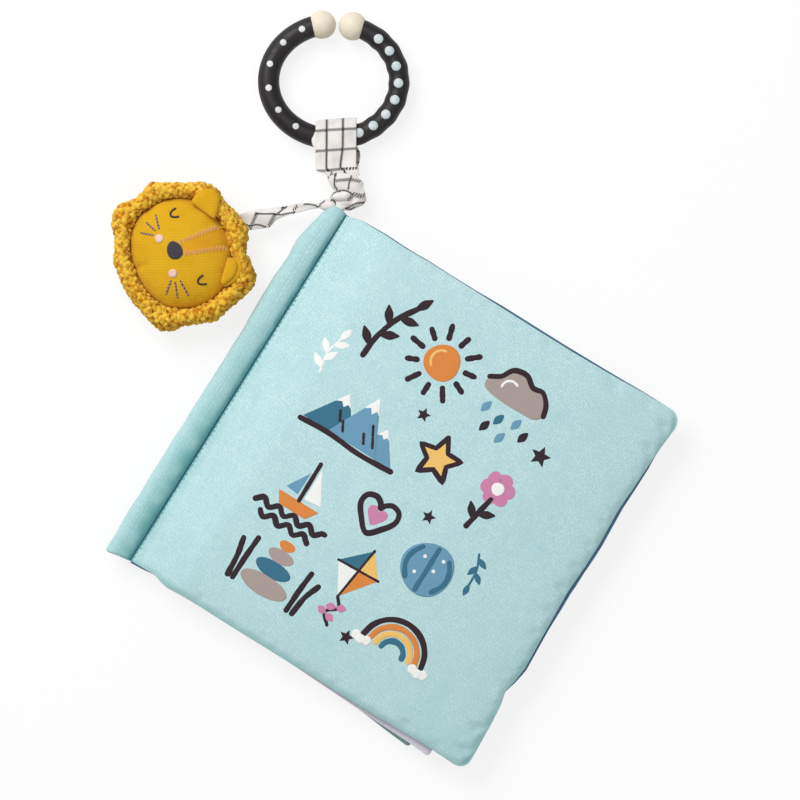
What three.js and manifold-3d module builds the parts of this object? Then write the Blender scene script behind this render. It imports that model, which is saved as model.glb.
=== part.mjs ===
// Crinkle cloth book with a link ring and a stuffed lion head on short cloth straps.
// Millimetres. +X runs from the spine to the fore-edge, +Y up the spine, +Z out of the front cover.
// The origin is on the back cover's underside, in the middle of the book's footprint.
import * as THREE from 'three';
import Module from 'manifold-3d';
import { mergeVertices } from 'three/addons/utils/BufferGeometryUtils.js';

const wasm = await Module();
wasm.setup();

// Clearances
const FIT_GAP = 0.3;
const OVERRUN = 60;

// Cloth, film and filling
const CLOTH = 0.4;
const FILM = 0.2;
const LEAF_THICKNESS = 3.8;
const LEAF_COUNT = 4;

// Leaves
const BOOK_HEIGHT = 165;
const COVER_LENGTH = 155.8;
const CORNER_RADIUS = 5.5;
const SIDE_DRAW_IN = 1.5;
const CROWN_WIDTH = 14;
const RAMP_LENGTH = 26;
const STACK_DOME = 1.6;
const FRONT_PAGE_SHORT = 13;
const FRONT_PAGE_SAG = 1.9;
const REAR_PAGE_SHORT = 21.3;
const REAR_PAGE_SAG = 3.9;
const PAD_START = 12;
const PAD_INSET = 5;

// Spine roll, folded from all the cloths and sewn through beside the leaves
const ROLL_WIDTH = 10.6;
const ROLL_DEPTH = 9.4;
const ROLL_TO_SEAM = 11.7;
const ROLL_END_INSET = 0.4;
const ROLL_END_TAPER = 5;
const ROLL_END_SHRINK = 1;

// Seam thread
const THREAD = 0.45;
const THREAD_FROM_SEAM = 0.9;
const THREAD_END_INSET = 3;

// Directions in the plane of the book, counterclockwise from +X, in degrees
const KNOT_TURN = 32;
const RING_STRAP_TURN = 126.4;
const RING_TURN = -4.4;
const LION_STRAP_TURN = 229.7;
const LION_TURN = 54.3;

// Strap knot, above the roll's top end
const KNOT_WIDTH = 19;
const KNOT_HEIGHT = 17;
const KNOT_DEPTH = 10.4;
const KNOT_SIDE = 2.15;
const KNOT_RISE = 5.3;
const TAIL_LENGTH = 7;

// Ring strap, a loop of tape that holds the ring
const TAPE = 0.8;
const TAPE_WIDTH = 16;
const TAPE_PINCH_WIDTH = 7;
const PINCH_LENGTH = 6;
const STRAP_PIVOT_SIDE = -2.4;
const STRAP_PIVOT_RISE = 7.2;
const STRAP_PIVOT_LIFT = 2.35;
const STRAP_START = 0.15;
const ROD_OUT = 15.8;
const LOOP_SLACK = 2.4;
const LOOP_DESCENT = 9;

// Link ring
const RING_LONG_RADIUS = 26.2;
const RING_SHORT_RADIUS = 23.1;
const ROD_RADIUS = 4.3;
const BALL_RADIUS = 5.7;
const BALL_GAP = 1.2;
const BALL_SOCKET_FLOOR = 1.5;
const RING_OPENING_TURN = -3.2;

// Lion strap, the same tape folded narrow
const LION_STRAP_LENGTH = 30.2;
const LION_STRAP_WIDTH = 5.6;
const LION_STRAP_THICKNESS = 1.4;
const LION_STRAP_CLEAR = 0.35;
const LION_PIVOT_SIDE = -11.3;
const LION_PIVOT_RISE = -0.9;

// Lion head
const FACE_HALF_WIDTH = 22.2;
const FACE_HALF_HEIGHT = 20;
const FACE_CROWN = 11.5;
const BACK_CROWN = 10.4;
const LION_CLOTH = 0.6;
const FLAT_CUT = 0.5;
const MANE_RADIUS = 29;
const MANE_HEIGHT = 19;
const STRAP_ATTACH_SIDE = -2.3;
const STRAP_ATTACH_CLEAR = 0.3;
const EAR_HALF_WIDTH = 6.2;
const EAR_HALF_HEIGHT = 5.4;
const EAR_HALF_THICKNESS = 1.6;
const EAR_OUT = 23.6;
const EAR_SPREAD = 37;

// Levels that follow from the sizes above
const TONGUE = 2 * CLOTH + FIT_GAP;
const TONGUE_PITCH = TONGUE + FIT_GAP;
const LEAF_PITCH = LEAF_THICKNESS + FIT_GAP;
const STACK = LEAF_COUNT * TONGUE_PITCH - FIT_GAP;
const BLOCK = LEAF_COUNT * LEAF_PITCH - FIT_GAP;
const SEAM_LEVEL = BLOCK / 2;
const STACK_LOW = SEAM_LEVEL - STACK / 2;
const STACK_TOP = SEAM_LEVEL + STACK / 2;
const SPINE_EDGE_X = -(COVER_LENGTH + ROLL_TO_SEAM) / 2;
const SEAM_X = SPINE_EDGE_X + ROLL_TO_SEAM;
const COVER_MIDDLE_X = SEAM_X + COVER_LENGTH / 2;
const ROLL_X = SPINE_EDGE_X + ROLL_WIDTH / 2;
const ROLL_END = BOOK_HEIGHT / 2 - ROLL_END_INSET;
const RING_LEVEL = BALL_RADIUS;

// Shares along a leaf: up the ramp from the seam, over the flat middle, and in from a free edge
const rampStepShares = [0.15, 0.35, 0.6, 1];
const middleStepShares = [0.33, 0.67];
const crownStepShares = [1, 0.45, 0.12, 0];

// Shares of the knot's half sizes: each lobe's centre, then its radii
const knotLobeShares = [
  { x: 0, y: 0, rx: 0.76, ry: 0.54, rz: 1 },
  { x: -0.04, y: 0.42, rx: 0.78, ry: 0.35, rz: 0.69 },
  { x: -0.46, y: -0.38, rx: 0.38, ry: 0.38, rz: 0.77 },
  { x: 0.59, y: -0.24, rx: 0.27, ry: 0.52, rz: 0.8 },
  { x: -0.8, y: -0.11, rx: 0.31, ry: 0.24, rz: 0.46 },
];

// Shares of the mane's radius, every 15 degrees from the head's right
const maneLobeShares = [
  1, 0.99, 1.05, 1.1, 0.99, 0.93, 0.99, 0.99, 0.97, 1.05, 1.02, 1.01,
  1.05, 0.98, 1.06, 1.02, 0.9, 0.92, 0.89, 0.91, 0.95, 1.03, 1.08, 0.99,
];
const FULLNESS_SHARE = 0.8;

// Shares of the hollow in the roll's end that the knot's tail fills
const TAIL_WIDTH_SHARE = 0.66;
const TAIL_THICKNESS_SHARE = 0.55;

// Finishes
const finishes = {
  aqua: [0xbedfe4, 0.9],
  blue: [0x5a78a0, 0.9],
  lilac: [0xc8c6d1, 0.9],
  teal: [0x8db1ae, 0.9],
  wadding: [0xf2f0ea, 1],
  film: [0xd8dde0, 0.4],
  thread: [0x9fc4c8, 0.8],
  tape: [0xe9e5e2, 0.9],
  black: [0x2b2729, 0.35],
  cream: [0xe8e1ce, 0.4],
  mustard: [0xd9ae27, 0.9],
  mane: [0xcf9827, 1],
};

const book = new THREE.Group();

function piece(parent, name, geometry, finish) {
  const [color, roughness] = finishes[finish];
  const material = new THREE.MeshStandardMaterial({ color, roughness, metalness: 0 });
  const mesh = new THREE.Mesh(geometry, material);
  mesh.name = name;
  parent.add(mesh);
  return mesh;
}

function radians(degrees) {
  return THREE.MathUtils.degToRad(degrees);
}

function blend(from, to, share) {
  return from + (to - from) * share;
}

function smooth(share) {
  const t = THREE.MathUtils.clamp(share, 0, 1);
  return t * t * (3 - 2 * t);
}

function rounded(share) {
  const t = 1 - THREE.MathUtils.clamp(share, 0, 1);
  return Math.sqrt(1 - t * t);
}

function turned(x, y, degrees) {
  return new THREE.Vector2(x, y).rotateAround(new THREE.Vector2(), radians(degrees));
}

// Geometry from shared points and triangles, with its faces turned outwards
function solid(points, triangles) {
  let volume = 0;
  const cross = new THREE.Vector3();
  for (const [a, b, c] of triangles) {
    volume += points[a].dot(cross.crossVectors(points[b], points[c]));
  }
  const index = triangles.flatMap(([a, b, c]) => (volume > 0 ? [a, b, c] : [a, c, b]));
  const geometry = new THREE.BufferGeometry().setFromPoints(points);
  geometry.setIndex(index);
  geometry.computeVertexNormals();
  return geometry;
}

// A closed body between two matching grids of points
function slab(upper, lower) {
  const rows = upper.length;
  const columns = upper[0].length;
  const points = [...upper.flat(), ...lower.flat()];
  const top = (i, j) => i * columns + j;
  const under = (i, j) => rows * columns + top(i, j);
  const triangles = [];
  const quad = (a, b, c, d) => triangles.push([a, b, c], [a, c, d]);
  for (let i = 0; i < rows - 1; i += 1) {
    for (let j = 0; j < columns - 1; j += 1) {
      quad(top(i, j), top(i + 1, j), top(i + 1, j + 1), top(i, j + 1));
      quad(under(i, j), under(i, j + 1), under(i + 1, j + 1), under(i + 1, j));
    }
  }
  for (let j = 0; j < columns - 1; j += 1) {
    quad(under(0, j), top(0, j), top(0, j + 1), under(0, j + 1));
    quad(top(rows - 1, j), under(rows - 1, j), under(rows - 1, j + 1), top(rows - 1, j + 1));
  }
  for (let i = 0; i < rows - 1; i += 1) {
    quad(under(i, 0), under(i + 1, 0), top(i + 1, 0), top(i, 0));
    quad(top(i, columns - 1), top(i + 1, columns - 1), under(i + 1, columns - 1), under(i, columns - 1));
  }
  return solid(points, triangles);
}

// A closed ring of closed sections
function hoop(sections) {
  const count = sections.length;
  const around = sections[0].length;
  const triangles = [];
  for (let i = 0; i < count; i += 1) {
    for (let j = 0; j < around; j += 1) {
      const a = i * around + j;
      const b = ((i + 1) % count) * around + j;
      const c = ((i + 1) % count) * around + ((j + 1) % around);
      const d = i * around + ((j + 1) % around);
      triangles.push([a, b, c], [a, c, d]);
    }
  }
  return solid(sections.flat(), triangles);
}

function toManifold(geometry) {
  const bare = geometry.clone();
  bare.deleteAttribute('normal');
  bare.deleteAttribute('uv');
  const merged = mergeVertices(bare);
  return new wasm.Manifold(new wasm.Mesh({
    numProp: 3,
    vertProperties: new Float32Array(merged.attributes.position.array),
    triVerts: new Uint32Array(merged.index.array),
  }));
}

function fromManifold(body) {
  const mesh = body.getMesh();
  const geometry = new THREE.BufferGeometry();
  geometry.setAttribute('position', new THREE.BufferAttribute(new Float32Array(mesh.vertProperties), 3));
  geometry.setIndex(new THREE.BufferAttribute(new Uint32Array(mesh.triVerts), 1));
  geometry.computeVertexNormals();
  return geometry;
}

function ellipsoid(rx, ry, rz, across, down) {
  return new THREE.SphereGeometry(1, across, down).rotateX(Math.PI / 2).scale(rx, ry, rz);
}

// Everything below the resting surface, to cut soft pieces flat
function belowFloor() {
  return toManifold(new THREE.BoxGeometry(2 * OVERRUN, 2 * OVERRUN, OVERRUN).translate(0, 0, -OVERRUN / 2));
}

// Leaves. Each has two cloths with wadding and crinkle film between them.
const leaves = [
  { name: 'back_cover', length: COVER_LENGTH, sag: 0, upper: 'lining', lower: 'cloth', colours: ['blue', 'aqua'] },
  {
    name: 'rear_page',
    length: COVER_LENGTH - REAR_PAGE_SHORT,
    sag: REAR_PAGE_SAG,
    upper: 'lining',
    lower: 'cloth',
    colours: ['teal', 'lilac'],
  },
  {
    name: 'front_page',
    length: COVER_LENGTH - FRONT_PAGE_SHORT,
    sag: FRONT_PAGE_SAG,
    upper: 'cloth',
    lower: 'lining',
    colours: ['lilac', 'teal'],
  },
  { name: 'front_cover', length: COVER_LENGTH, sag: 0, upper: 'cloth', lower: 'lining', colours: ['aqua', 'blue'] },
];

// Place and levels of a leaf at a run from the seam and a distance up from its lower edge
function leafPoint(leaf, order, run, across) {
  const half = BOOK_HEIGHT / 2;
  const reach = leaf.length - run;
  const along = run / leaf.length;
  const side = (across - half) / half;
  const inCorner = Math.max(0, CORNER_RADIUS - reach);
  const cornerCut = CORNER_RADIUS - Math.sqrt(CORNER_RADIUS ** 2 - inCorner ** 2);
  const drawnIn = SIDE_DRAW_IN * 4 * along * (1 - along);
  const x = SEAM_X + run - SIDE_DRAW_IN * along ** 4 * (1 - side ** 2);
  const y = side * (half - cornerCut - drawnIn) - leaf.sag * along;
  const sideRim = Math.min(across, BOOK_HEIGHT - across);
  const rim = CROWN_WIDTH - Math.hypot(Math.max(0, CROWN_WIDTH - reach), Math.max(0, CROWN_WIDTH - sideRim));
  const ramp = smooth(run / RAMP_LENGTH);
  const domeX = 1 - ((x - COVER_MIDDLE_X) / (COVER_LENGTH / 2)) ** 2;
  const domeY = 1 - (y / half) ** 2;
  const dome = STACK_DOME * ramp * Math.max(0, domeX) * Math.max(0, domeY);
  const tongueLow = STACK_LOW + order * TONGUE_PITCH;
  const restLow = order * LEAF_PITCH;
  const low = blend(tongueLow, restLow, ramp) + (dome * order) / LEAF_COUNT;
  const high = blend(tongueLow + TONGUE, restLow + LEAF_THICKNESS, ramp) + (dome * (order + 1)) / LEAF_COUNT;
  const middle = (low + high) / 2;
  const thick = blend(TONGUE / 2, (high - low) / 2, rounded(rim / CROWN_WIDTH));
  return { x, y, low: middle - thick, high: middle + thick };
}

function leafRuns(leaf) {
  const flat = leaf.length - RAMP_LENGTH - CROWN_WIDTH;
  return [
    FIT_GAP / 2,
    ...rampStepShares.map((share) => share * RAMP_LENGTH),
    ...middleStepShares.map((share) => RAMP_LENGTH + share * flat),
    ...crownStepShares.map((share) => leaf.length - share * CROWN_WIDTH),
  ];
}

function leafRises() {
  const flat = BOOK_HEIGHT - 2 * CROWN_WIDTH;
  const edge = crownStepShares.map((share) => share * CROWN_WIDTH);
  return [
    ...edge.slice().reverse(),
    ...middleStepShares.map((share) => CROWN_WIDTH + share * flat),
    ...edge.map((rise) => BOOK_HEIGHT - rise),
  ];
}

function leafSlab(leaf, order, runs, rises, levels) {
  const grid = (pick) => runs.map((run) => rises.map((rise) => {
    const point = leafPoint(leaf, order, run, rise);
    return new THREE.Vector3(point.x, point.y, pick(levels(point)));
  }));
  return slab(grid((pair) => pair[1]), grid((pair) => pair[0]));
}

leaves.forEach((leaf, order) => {
  const runs = leafRuns(leaf);
  const rises = leafRises();
  const padRuns = [
    PAD_START,
    ...runs.filter((run) => run > PAD_START && run < leaf.length - PAD_INSET - FIT_GAP),
    leaf.length - PAD_INSET,
  ];
  const padRises = [
    PAD_INSET,
    ...rises.filter((rise) => rise >= CROWN_WIDTH && rise <= BOOK_HEIGHT - CROWN_WIDTH),
    BOOK_HEIGHT - PAD_INSET,
  ];
  const under = CLOTH + FIT_GAP;
  const filled = under + FILM + FIT_GAP;
  const upper = leafSlab(leaf, order, runs, rises, ({ high }) => [high - CLOTH, high]);
  const lower = leafSlab(leaf, order, runs, rises, ({ low }) => [low, low + CLOTH]);
  const wadding = leafSlab(leaf, order, padRuns, padRises, ({ low, high }) => [low + filled, high - under]);
  const film = leafSlab(leaf, order, padRuns, padRises, ({ low }) => [low + under, low + under + FILM]);
  piece(book, `${leaf.name}_${leaf.upper}`, upper, leaf.colours[0]);
  piece(book, `${leaf.name}_${leaf.lower}`, lower, leaf.colours[1]);
  piece(book, `${leaf.name}_wadding`, wadding, 'wadding');
  piece(book, `${leaf.name}_crinkle_film`, film, 'film');
});

// Spine roll: four cloths, one inside the other, each with two lips that run into the seam
const ROLL_ARC_STEPS = 12;
const rollStations = [
  { y: -ROLL_END, shrink: ROLL_END_SHRINK },
  { y: -ROLL_END + ROLL_END_TAPER, shrink: 0 },
  { y: 0, shrink: 0 },
  { y: ROLL_END - ROLL_END_TAPER, shrink: 0 },
  { y: ROLL_END, shrink: ROLL_END_SHRINK },
];

function rollOutline(inset, shrink, y) {
  const width = ROLL_WIDTH / 2 - inset - shrink;
  const depth = ROLL_DEPTH / 2 - inset - shrink;
  const lip = STACK / 2 - inset;
  const start = Math.asin(lip / depth);
  const points = [new THREE.Vector3(SEAM_X - FIT_GAP / 2, y, SEAM_LEVEL + lip)];
  for (let i = 0; i <= ROLL_ARC_STEPS; i += 1) {
    const angle = blend(start, 2 * Math.PI - start, i / ROLL_ARC_STEPS);
    points.push(new THREE.Vector3(ROLL_X + width * Math.cos(angle), y, SEAM_LEVEL + depth * Math.sin(angle)));
  }
  points.push(new THREE.Vector3(SEAM_X - FIT_GAP / 2, y, SEAM_LEVEL - lip));
  return points;
}

['spine_cloth', 'spine_lining', 'spine_page_cloth', 'spine_page_lining'].forEach((name, layer) => {
  const inset = layer * (CLOTH + FIT_GAP);
  const outer = rollStations.map(({ y, shrink }) => rollOutline(inset, shrink, y));
  const inner = rollStations.map(({ y, shrink }) => rollOutline(inset + CLOTH, shrink, y));
  piece(book, name, slab(outer, inner), ['aqua', 'blue', 'lilac', 'teal'][layer]);
});

// Wadding in the middle of the roll. It stops short of the tail of the knot.
const CORE_INSET = LEAF_COUNT * (CLOTH + FIT_GAP) + ROLL_END_SHRINK;
const CORE_TOP = ROLL_END - TAIL_LENGTH - FIT_GAP;
const CORE_LENGTH = CORE_TOP + ROLL_END;
const core = new THREE.CylinderGeometry(1, 1, CORE_LENGTH, ROLL_ARC_STEPS)
  .scale(ROLL_WIDTH / 2 - CORE_INSET, 1, ROLL_DEPTH / 2 - CORE_INSET)
  .translate(ROLL_X, CORE_TOP - CORE_LENGTH / 2, SEAM_LEVEL);
piece(book, 'spine_wadding', core, 'wadding');

// Seam threads, one along the upper lips and one along the lower
for (const [name, level] of [
  ['seam_thread_upper', STACK_TOP + THREAD / 2],
  ['seam_thread_lower', STACK_LOW - THREAD / 2],
]) {
  const thread = new THREE.BoxGeometry(THREAD, 2 * (ROLL_END - THREAD_END_INSET), THREAD)
    .translate(SEAM_X - THREAD_FROM_SEAM, 0, level);
  piece(book, name, thread, 'thread');
}

// Strap knot: lobes of gathered tape, cut clear of the roll's end, with a tail sewn into the roll
const knotCentre = new THREE.Vector3(ROLL_X + KNOT_SIDE, BOOK_HEIGHT / 2 + KNOT_RISE, SEAM_LEVEL);

function knotPlace(side, rise, lift) {
  const offset = turned(side, rise, KNOT_TURN);
  return new THREE.Vector3(knotCentre.x + offset.x, knotCentre.y + offset.y, knotCentre.z + lift);
}

const LOBE_ACROSS = 14;
const LOBE_DOWN = 8;
let knot = null;
for (const lobe of knotLobeShares) {
  const place = knotPlace((lobe.x * KNOT_WIDTH) / 2, (lobe.y * KNOT_HEIGHT) / 2, 0);
  const radii = [(lobe.rx * KNOT_WIDTH) / 2, (lobe.ry * KNOT_HEIGHT) / 2, (lobe.rz * KNOT_DEPTH) / 2];
  const geometry = ellipsoid(...radii, LOBE_ACROSS, LOBE_DOWN)
    .rotateZ(radians(KNOT_TURN))
    .translate(place.x, place.y, place.z);
  const body = toManifold(geometry);
  knot = knot ? knot.add(body) : body;
}
const clearLeft = SPINE_EDGE_X - FIT_GAP;
const clearTop = ROLL_END + FIT_GAP;
const clearOfRoll = new THREE.BoxGeometry(OVERRUN, OVERRUN, OVERRUN)
  .translate(clearLeft + OVERRUN / 2, clearTop - OVERRUN / 2, SEAM_LEVEL);
const tailWidth = 2 * (ROLL_WIDTH / 2 - CORE_INSET) * TAIL_WIDTH_SHARE;
const tailThickness = 2 * (ROLL_DEPTH / 2 - CORE_INSET) * TAIL_THICKNESS_SHARE;
const tail = new THREE.BoxGeometry(tailWidth, TAIL_LENGTH + KNOT_RISE, tailThickness)
  .translate(ROLL_X, ROLL_END - TAIL_LENGTH + (TAIL_LENGTH + KNOT_RISE) / 2, SEAM_LEVEL);
piece(book, 'strap_knot', fromManifold(knot.subtract(toManifold(clearOfRoll)).add(toManifold(tail))), 'tape');

// Ring strap. In its group +Y runs out along the strap and the pivot is the origin.
const ringStrap = new THREE.Group();
ringStrap.position.copy(knotPlace(STRAP_PIVOT_SIDE, STRAP_PIVOT_RISE, STRAP_PIVOT_LIFT));
ringStrap.rotation.z = radians(RING_STRAP_TURN - 90);
book.add(ringStrap);

const ringDrop = RING_LEVEL - (SEAM_LEVEL + STRAP_PIVOT_LIFT);
const layerOut = ROD_RADIUS + FIT_GAP + TAPE / 2;
const turnOut = ROD_OUT + ROD_RADIUS + LOOP_SLACK + TAPE / 2 - layerOut;
const TURN_STEPS = 8;
const backLayerShares = { outer: 0.7, inner: 0.3 };
const tapePath = [
  { out: STRAP_START, level: TAPE / 2 + FIT_GAP / 2 },
  { out: PINCH_LENGTH / 2, level: ringDrop + layerOut },
  { out: PINCH_LENGTH, level: ringDrop + layerOut },
  { out: LOOP_DESCENT, level: ringDrop + layerOut },
];
for (let i = 0; i <= TURN_STEPS; i += 1) {
  const angle = Math.PI / 2 - (Math.PI * i) / TURN_STEPS;
  tapePath.push({ out: turnOut + layerOut * Math.cos(angle), level: ringDrop + layerOut * Math.sin(angle) });
}
tapePath.push(
  { out: LOOP_DESCENT, level: ringDrop - layerOut },
  { out: PINCH_LENGTH, level: (ringDrop - layerOut) * backLayerShares.outer },
  { out: PINCH_LENGTH / 2, level: (ringDrop - layerOut) * backLayerShares.inner },
  { out: STRAP_START, level: -(TAPE / 2 + FIT_GAP / 2) },
);

function tapeSection(i) {
  const here = tapePath[i];
  const before = tapePath[Math.max(0, i - 1)];
  const after = tapePath[Math.min(tapePath.length - 1, i + 1)];
  const run = new THREE.Vector2(after.out - before.out, after.level - before.level).normalize();
  const offset = new THREE.Vector2(-run.y, run.x).multiplyScalar(TAPE / 2);
  const width = blend(TAPE_PINCH_WIDTH, TAPE_WIDTH, smooth(here.out / PINCH_LENGTH));
  const edge = (sign) => [-width / 2, width / 2].map((x) => new THREE.Vector3(
    x,
    here.out + sign * offset.x,
    here.level + sign * offset.y,
  ));
  return { outside: edge(1), inside: edge(-1) };
}

const tapeSections = tapePath.map((_, i) => tapeSection(i));
const loop = slab(tapeSections.map((section) => section.outside), tapeSections.map((section) => section.inside));
piece(ringStrap, 'ring_strap_loop', loop, 'tape');

// Link ring: an oval rod, open at the top between two ball tips
const linkRing = new THREE.Group();
linkRing.position.set(0, ROD_OUT + RING_SHORT_RADIUS, ringDrop);
linkRing.rotation.z = radians(RING_TURN);
ringStrap.add(linkRing);

class OvalPath extends THREE.Curve {
  constructor(from, to) {
    super();
    this.from = from;
    this.to = to;
  }

  getPoint(share, target = new THREE.Vector3()) {
    const angle = blend(this.from, this.to, share);
    return target.set(RING_LONG_RADIUS * Math.cos(angle), RING_SHORT_RADIUS * Math.sin(angle), 0);
  }
}

const ROD_STEPS = 44;
const ROD_SIDES = 14;
const openingAngle = Math.PI / 2 + radians(RING_OPENING_TURN);
const ballTurn = (BALL_RADIUS + BALL_GAP / 2) / RING_LONG_RADIUS;
const leftBallAngle = openingAngle + ballTurn;
const rightBallAngle = openingAngle - ballTurn + 2 * Math.PI;
const rodInset = BALL_SOCKET_FLOOR / RING_LONG_RADIUS;
const socketInset = (BALL_SOCKET_FLOOR - FIT_GAP) / RING_LONG_RADIUS;
const socketReach = (2 * BALL_RADIUS) / RING_LONG_RADIUS;

function rod(radius, from, to, steps) {
  const section = new THREE.Shape().absellipse(0, 0, radius, radius, 0, 2 * Math.PI, false, 0);
  return new THREE.ExtrudeGeometry(section, {
    steps,
    extrudePath: new OvalPath(from, to),
    curveSegments: ROD_SIDES / 2,
    bevelEnabled: false,
  });
}

piece(linkRing, 'ring_rod', rod(ROD_RADIUS, leftBallAngle + rodInset, rightBallAngle - rodInset, ROD_STEPS), 'black');

const BALL_ACROSS = 20;
const BALL_DOWN = 12;
const SOCKET_STEPS = 4;
const balls = [
  { name: 'left_ball_tip', angle: leftBallAngle, from: socketInset, to: socketReach },
  { name: 'right_ball_tip', angle: rightBallAngle, from: -socketReach, to: -socketInset },
];
for (const { name, angle, from, to } of balls) {
  const centre = new OvalPath(angle, angle).getPoint(0);
  const ball = ellipsoid(BALL_RADIUS, BALL_RADIUS, BALL_RADIUS, BALL_ACROSS, BALL_DOWN)
    .translate(centre.x, centre.y, centre.z);
  const socket = rod(ROD_RADIUS + FIT_GAP, angle + from, angle + to, SOCKET_STEPS);
  piece(linkRing, name, fromManifold(toManifold(ball).subtract(toManifold(socket))), 'cream');
}

// Lion strap. In its group +Y runs from the knot to the head and the pivot is the origin.
const lionStrap = new THREE.Group();
lionStrap.position.copy(knotPlace(LION_PIVOT_SIDE, LION_PIVOT_RISE, 0));
lionStrap.rotation.z = radians(LION_STRAP_TURN - 90);
book.add(lionStrap);

const lionStrapWidthShares = { ends: 0.6, middle: 1 };
const lionTwistShares = [0.1, 0.12, 0.3, 0.62, 0.8, 0.86, 1, 1.16, 1.1, 1.05];
const lionStrapEnd = LION_STRAP_LENGTH - LION_STRAP_CLEAR;
const lionSections = lionTwistShares.map((twist, i) => {
  const share = i / (lionTwistShares.length - 1);
  const angle = twist * Math.PI;
  const wide = new THREE.Vector3(Math.cos(angle), 0, Math.sin(angle));
  const thick = new THREE.Vector3(-Math.sin(angle), 0, Math.cos(angle)).multiplyScalar(LION_STRAP_THICKNESS / 2);
  const widthShare = blend(lionStrapWidthShares.ends, lionStrapWidthShares.middle, Math.sin(Math.PI * share));
  const width = LION_STRAP_WIDTH * widthShare;
  const centre = new THREE.Vector3(0, blend(LION_STRAP_CLEAR, lionStrapEnd, share), 0);
  const edge = (sign) => [-width / 2, width / 2].map((reach) => centre.clone()
    .addScaledVector(wide, reach)
    .addScaledVector(thick, sign));
  return { outside: edge(1), inside: edge(-1) };
});
const ribbon = slab(lionSections.map((section) => section.outside), lionSections.map((section) => section.inside));
piece(lionStrap, 'lion_strap', ribbon, 'tape');

// Lion head. In its group +X is the head's right, +Y its crown and +Z comes out of the face.
const FACE_LEVEL = BACK_CROWN + FIT_GAP - FLAT_CUT;
const attachAngle = Math.PI / 2 - STRAP_ATTACH_SIDE / MANE_RADIUS;
const headPivot = new THREE.Vector3(0, LION_STRAP_LENGTH, 0).applyAxisAngle(
  new THREE.Vector3(0, 0, 1),
  lionStrap.rotation.z,
).add(lionStrap.position);
const pivotInHead = turned(STRAP_ATTACH_SIDE, MANE_RADIUS + STRAP_ATTACH_CLEAR, LION_TURN - 90);
const lionHead = new THREE.Group();
lionHead.position.set(headPivot.x - pivotInHead.x, headPivot.y - pivotInHead.y, 0);
lionHead.rotation.z = radians(LION_TURN - 90);
book.add(lionHead);

const CAP_STEPS = 8;
const CAP_SEGMENTS = 24;

// Points from the pole of a cap to its rim: radius as a share of the face, then height
function capCurve(width, crown, sign, level) {
  const points = [];
  for (let i = 0; i <= CAP_STEPS; i += 1) {
    const angle = (Math.PI / 2) * (i / CAP_STEPS);
    const out = i === 0 ? 0 : Math.sin(angle) ** FULLNESS_SHARE;
    const up = i === CAP_STEPS ? 0 : Math.cos(angle) ** FULLNESS_SHARE;
    points.push(new THREE.Vector2(width * out, level + sign * crown * up));
  }
  return points;
}

function lathe(points) {
  const geometry = new THREE.LatheGeometry(points, CAP_SEGMENTS).rotateX(Math.PI / 2);
  geometry.scale(1, FACE_HALF_HEIGHT / FACE_HALF_WIDTH, 1);
  const merged = geometry.clone();
  merged.deleteAttribute('normal');
  merged.deleteAttribute('uv');
  const welded = mergeVertices(merged);
  const array = welded.attributes.position;
  const places = Array.from({ length: array.count }, (_, i) => new THREE.Vector3().fromBufferAttribute(array, i));
  const triangles = [];
  for (let i = 0; i < welded.index.count; i += 3) {
    const [a, b, c] = [0, 1, 2].map((k) => welded.index.getX(i + k));
    if (a !== b && b !== c && c !== a) {
      triangles.push([a, b, c]);
    }
  }
  return solid(places, triangles);
}

const backLevel = FACE_LEVEL - FIT_GAP;
const faceOuter = capCurve(FACE_HALF_WIDTH, FACE_CROWN, 1, FACE_LEVEL);
const faceInner = capCurve(FACE_HALF_WIDTH - LION_CLOTH, FACE_CROWN - LION_CLOTH, 1, FACE_LEVEL);
const backOuter = capCurve(FACE_HALF_WIDTH, BACK_CROWN, -1, backLevel);
const backInner = capCurve(FACE_HALF_WIDTH - LION_CLOTH, BACK_CROWN - LION_CLOTH - FLAT_CUT, -1, backLevel);
const fillWidth = FACE_HALF_WIDTH - LION_CLOTH - FIT_GAP;
const fillUpper = capCurve(fillWidth, FACE_CROWN - LION_CLOTH - FIT_GAP, 1, FACE_LEVEL);
const fillLower = capCurve(fillWidth, BACK_CROWN - LION_CLOTH - FLAT_CUT - FIT_GAP, -1, backLevel);

const faceCap = lathe([...faceOuter, ...faceInner.slice().reverse()]);
const backCap = lathe([...backOuter, ...backInner.slice().reverse()]);
const filling = lathe([...fillUpper, ...fillLower.slice().reverse()]);
piece(lionHead, 'lion_face_cloth', faceCap, 'mustard');
piece(lionHead, 'lion_back_cloth', fromManifold(toManifold(backCap).subtract(belowFloor())), 'mustard');
piece(lionHead, 'lion_stuffing', filling, 'wadding');

// Mane: a ring of soft lobes round the face
const MANE_SIDES = 10;
const maneMiddle = MANE_HEIGHT / 2 - FLAT_CUT;
const maneSections = maneLobeShares.map((share, i) => {
  const angle = (2 * Math.PI * i) / maneLobeShares.length;
  const faceOut = 1 / Math.hypot(Math.cos(angle) / FACE_HALF_WIDTH, Math.sin(angle) / FACE_HALF_HEIGHT);
  const inner = faceOut + FIT_GAP;
  const outer = share * MANE_RADIUS;
  return Array.from({ length: MANE_SIDES }, (_, k) => {
    const turn = (2 * Math.PI * k) / MANE_SIDES;
    const out = (inner + outer) / 2 + ((outer - inner) / 2) * Math.cos(turn);
    return new THREE.Vector3(
      out * Math.cos(angle),
      out * Math.sin(angle),
      maneMiddle + (MANE_HEIGHT / 2) * Math.sin(turn),
    );
  });
});
piece(lionHead, 'lion_mane', fromManifold(toManifold(hoop(maneSections)).subtract(belowFloor())), 'mane');

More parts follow.
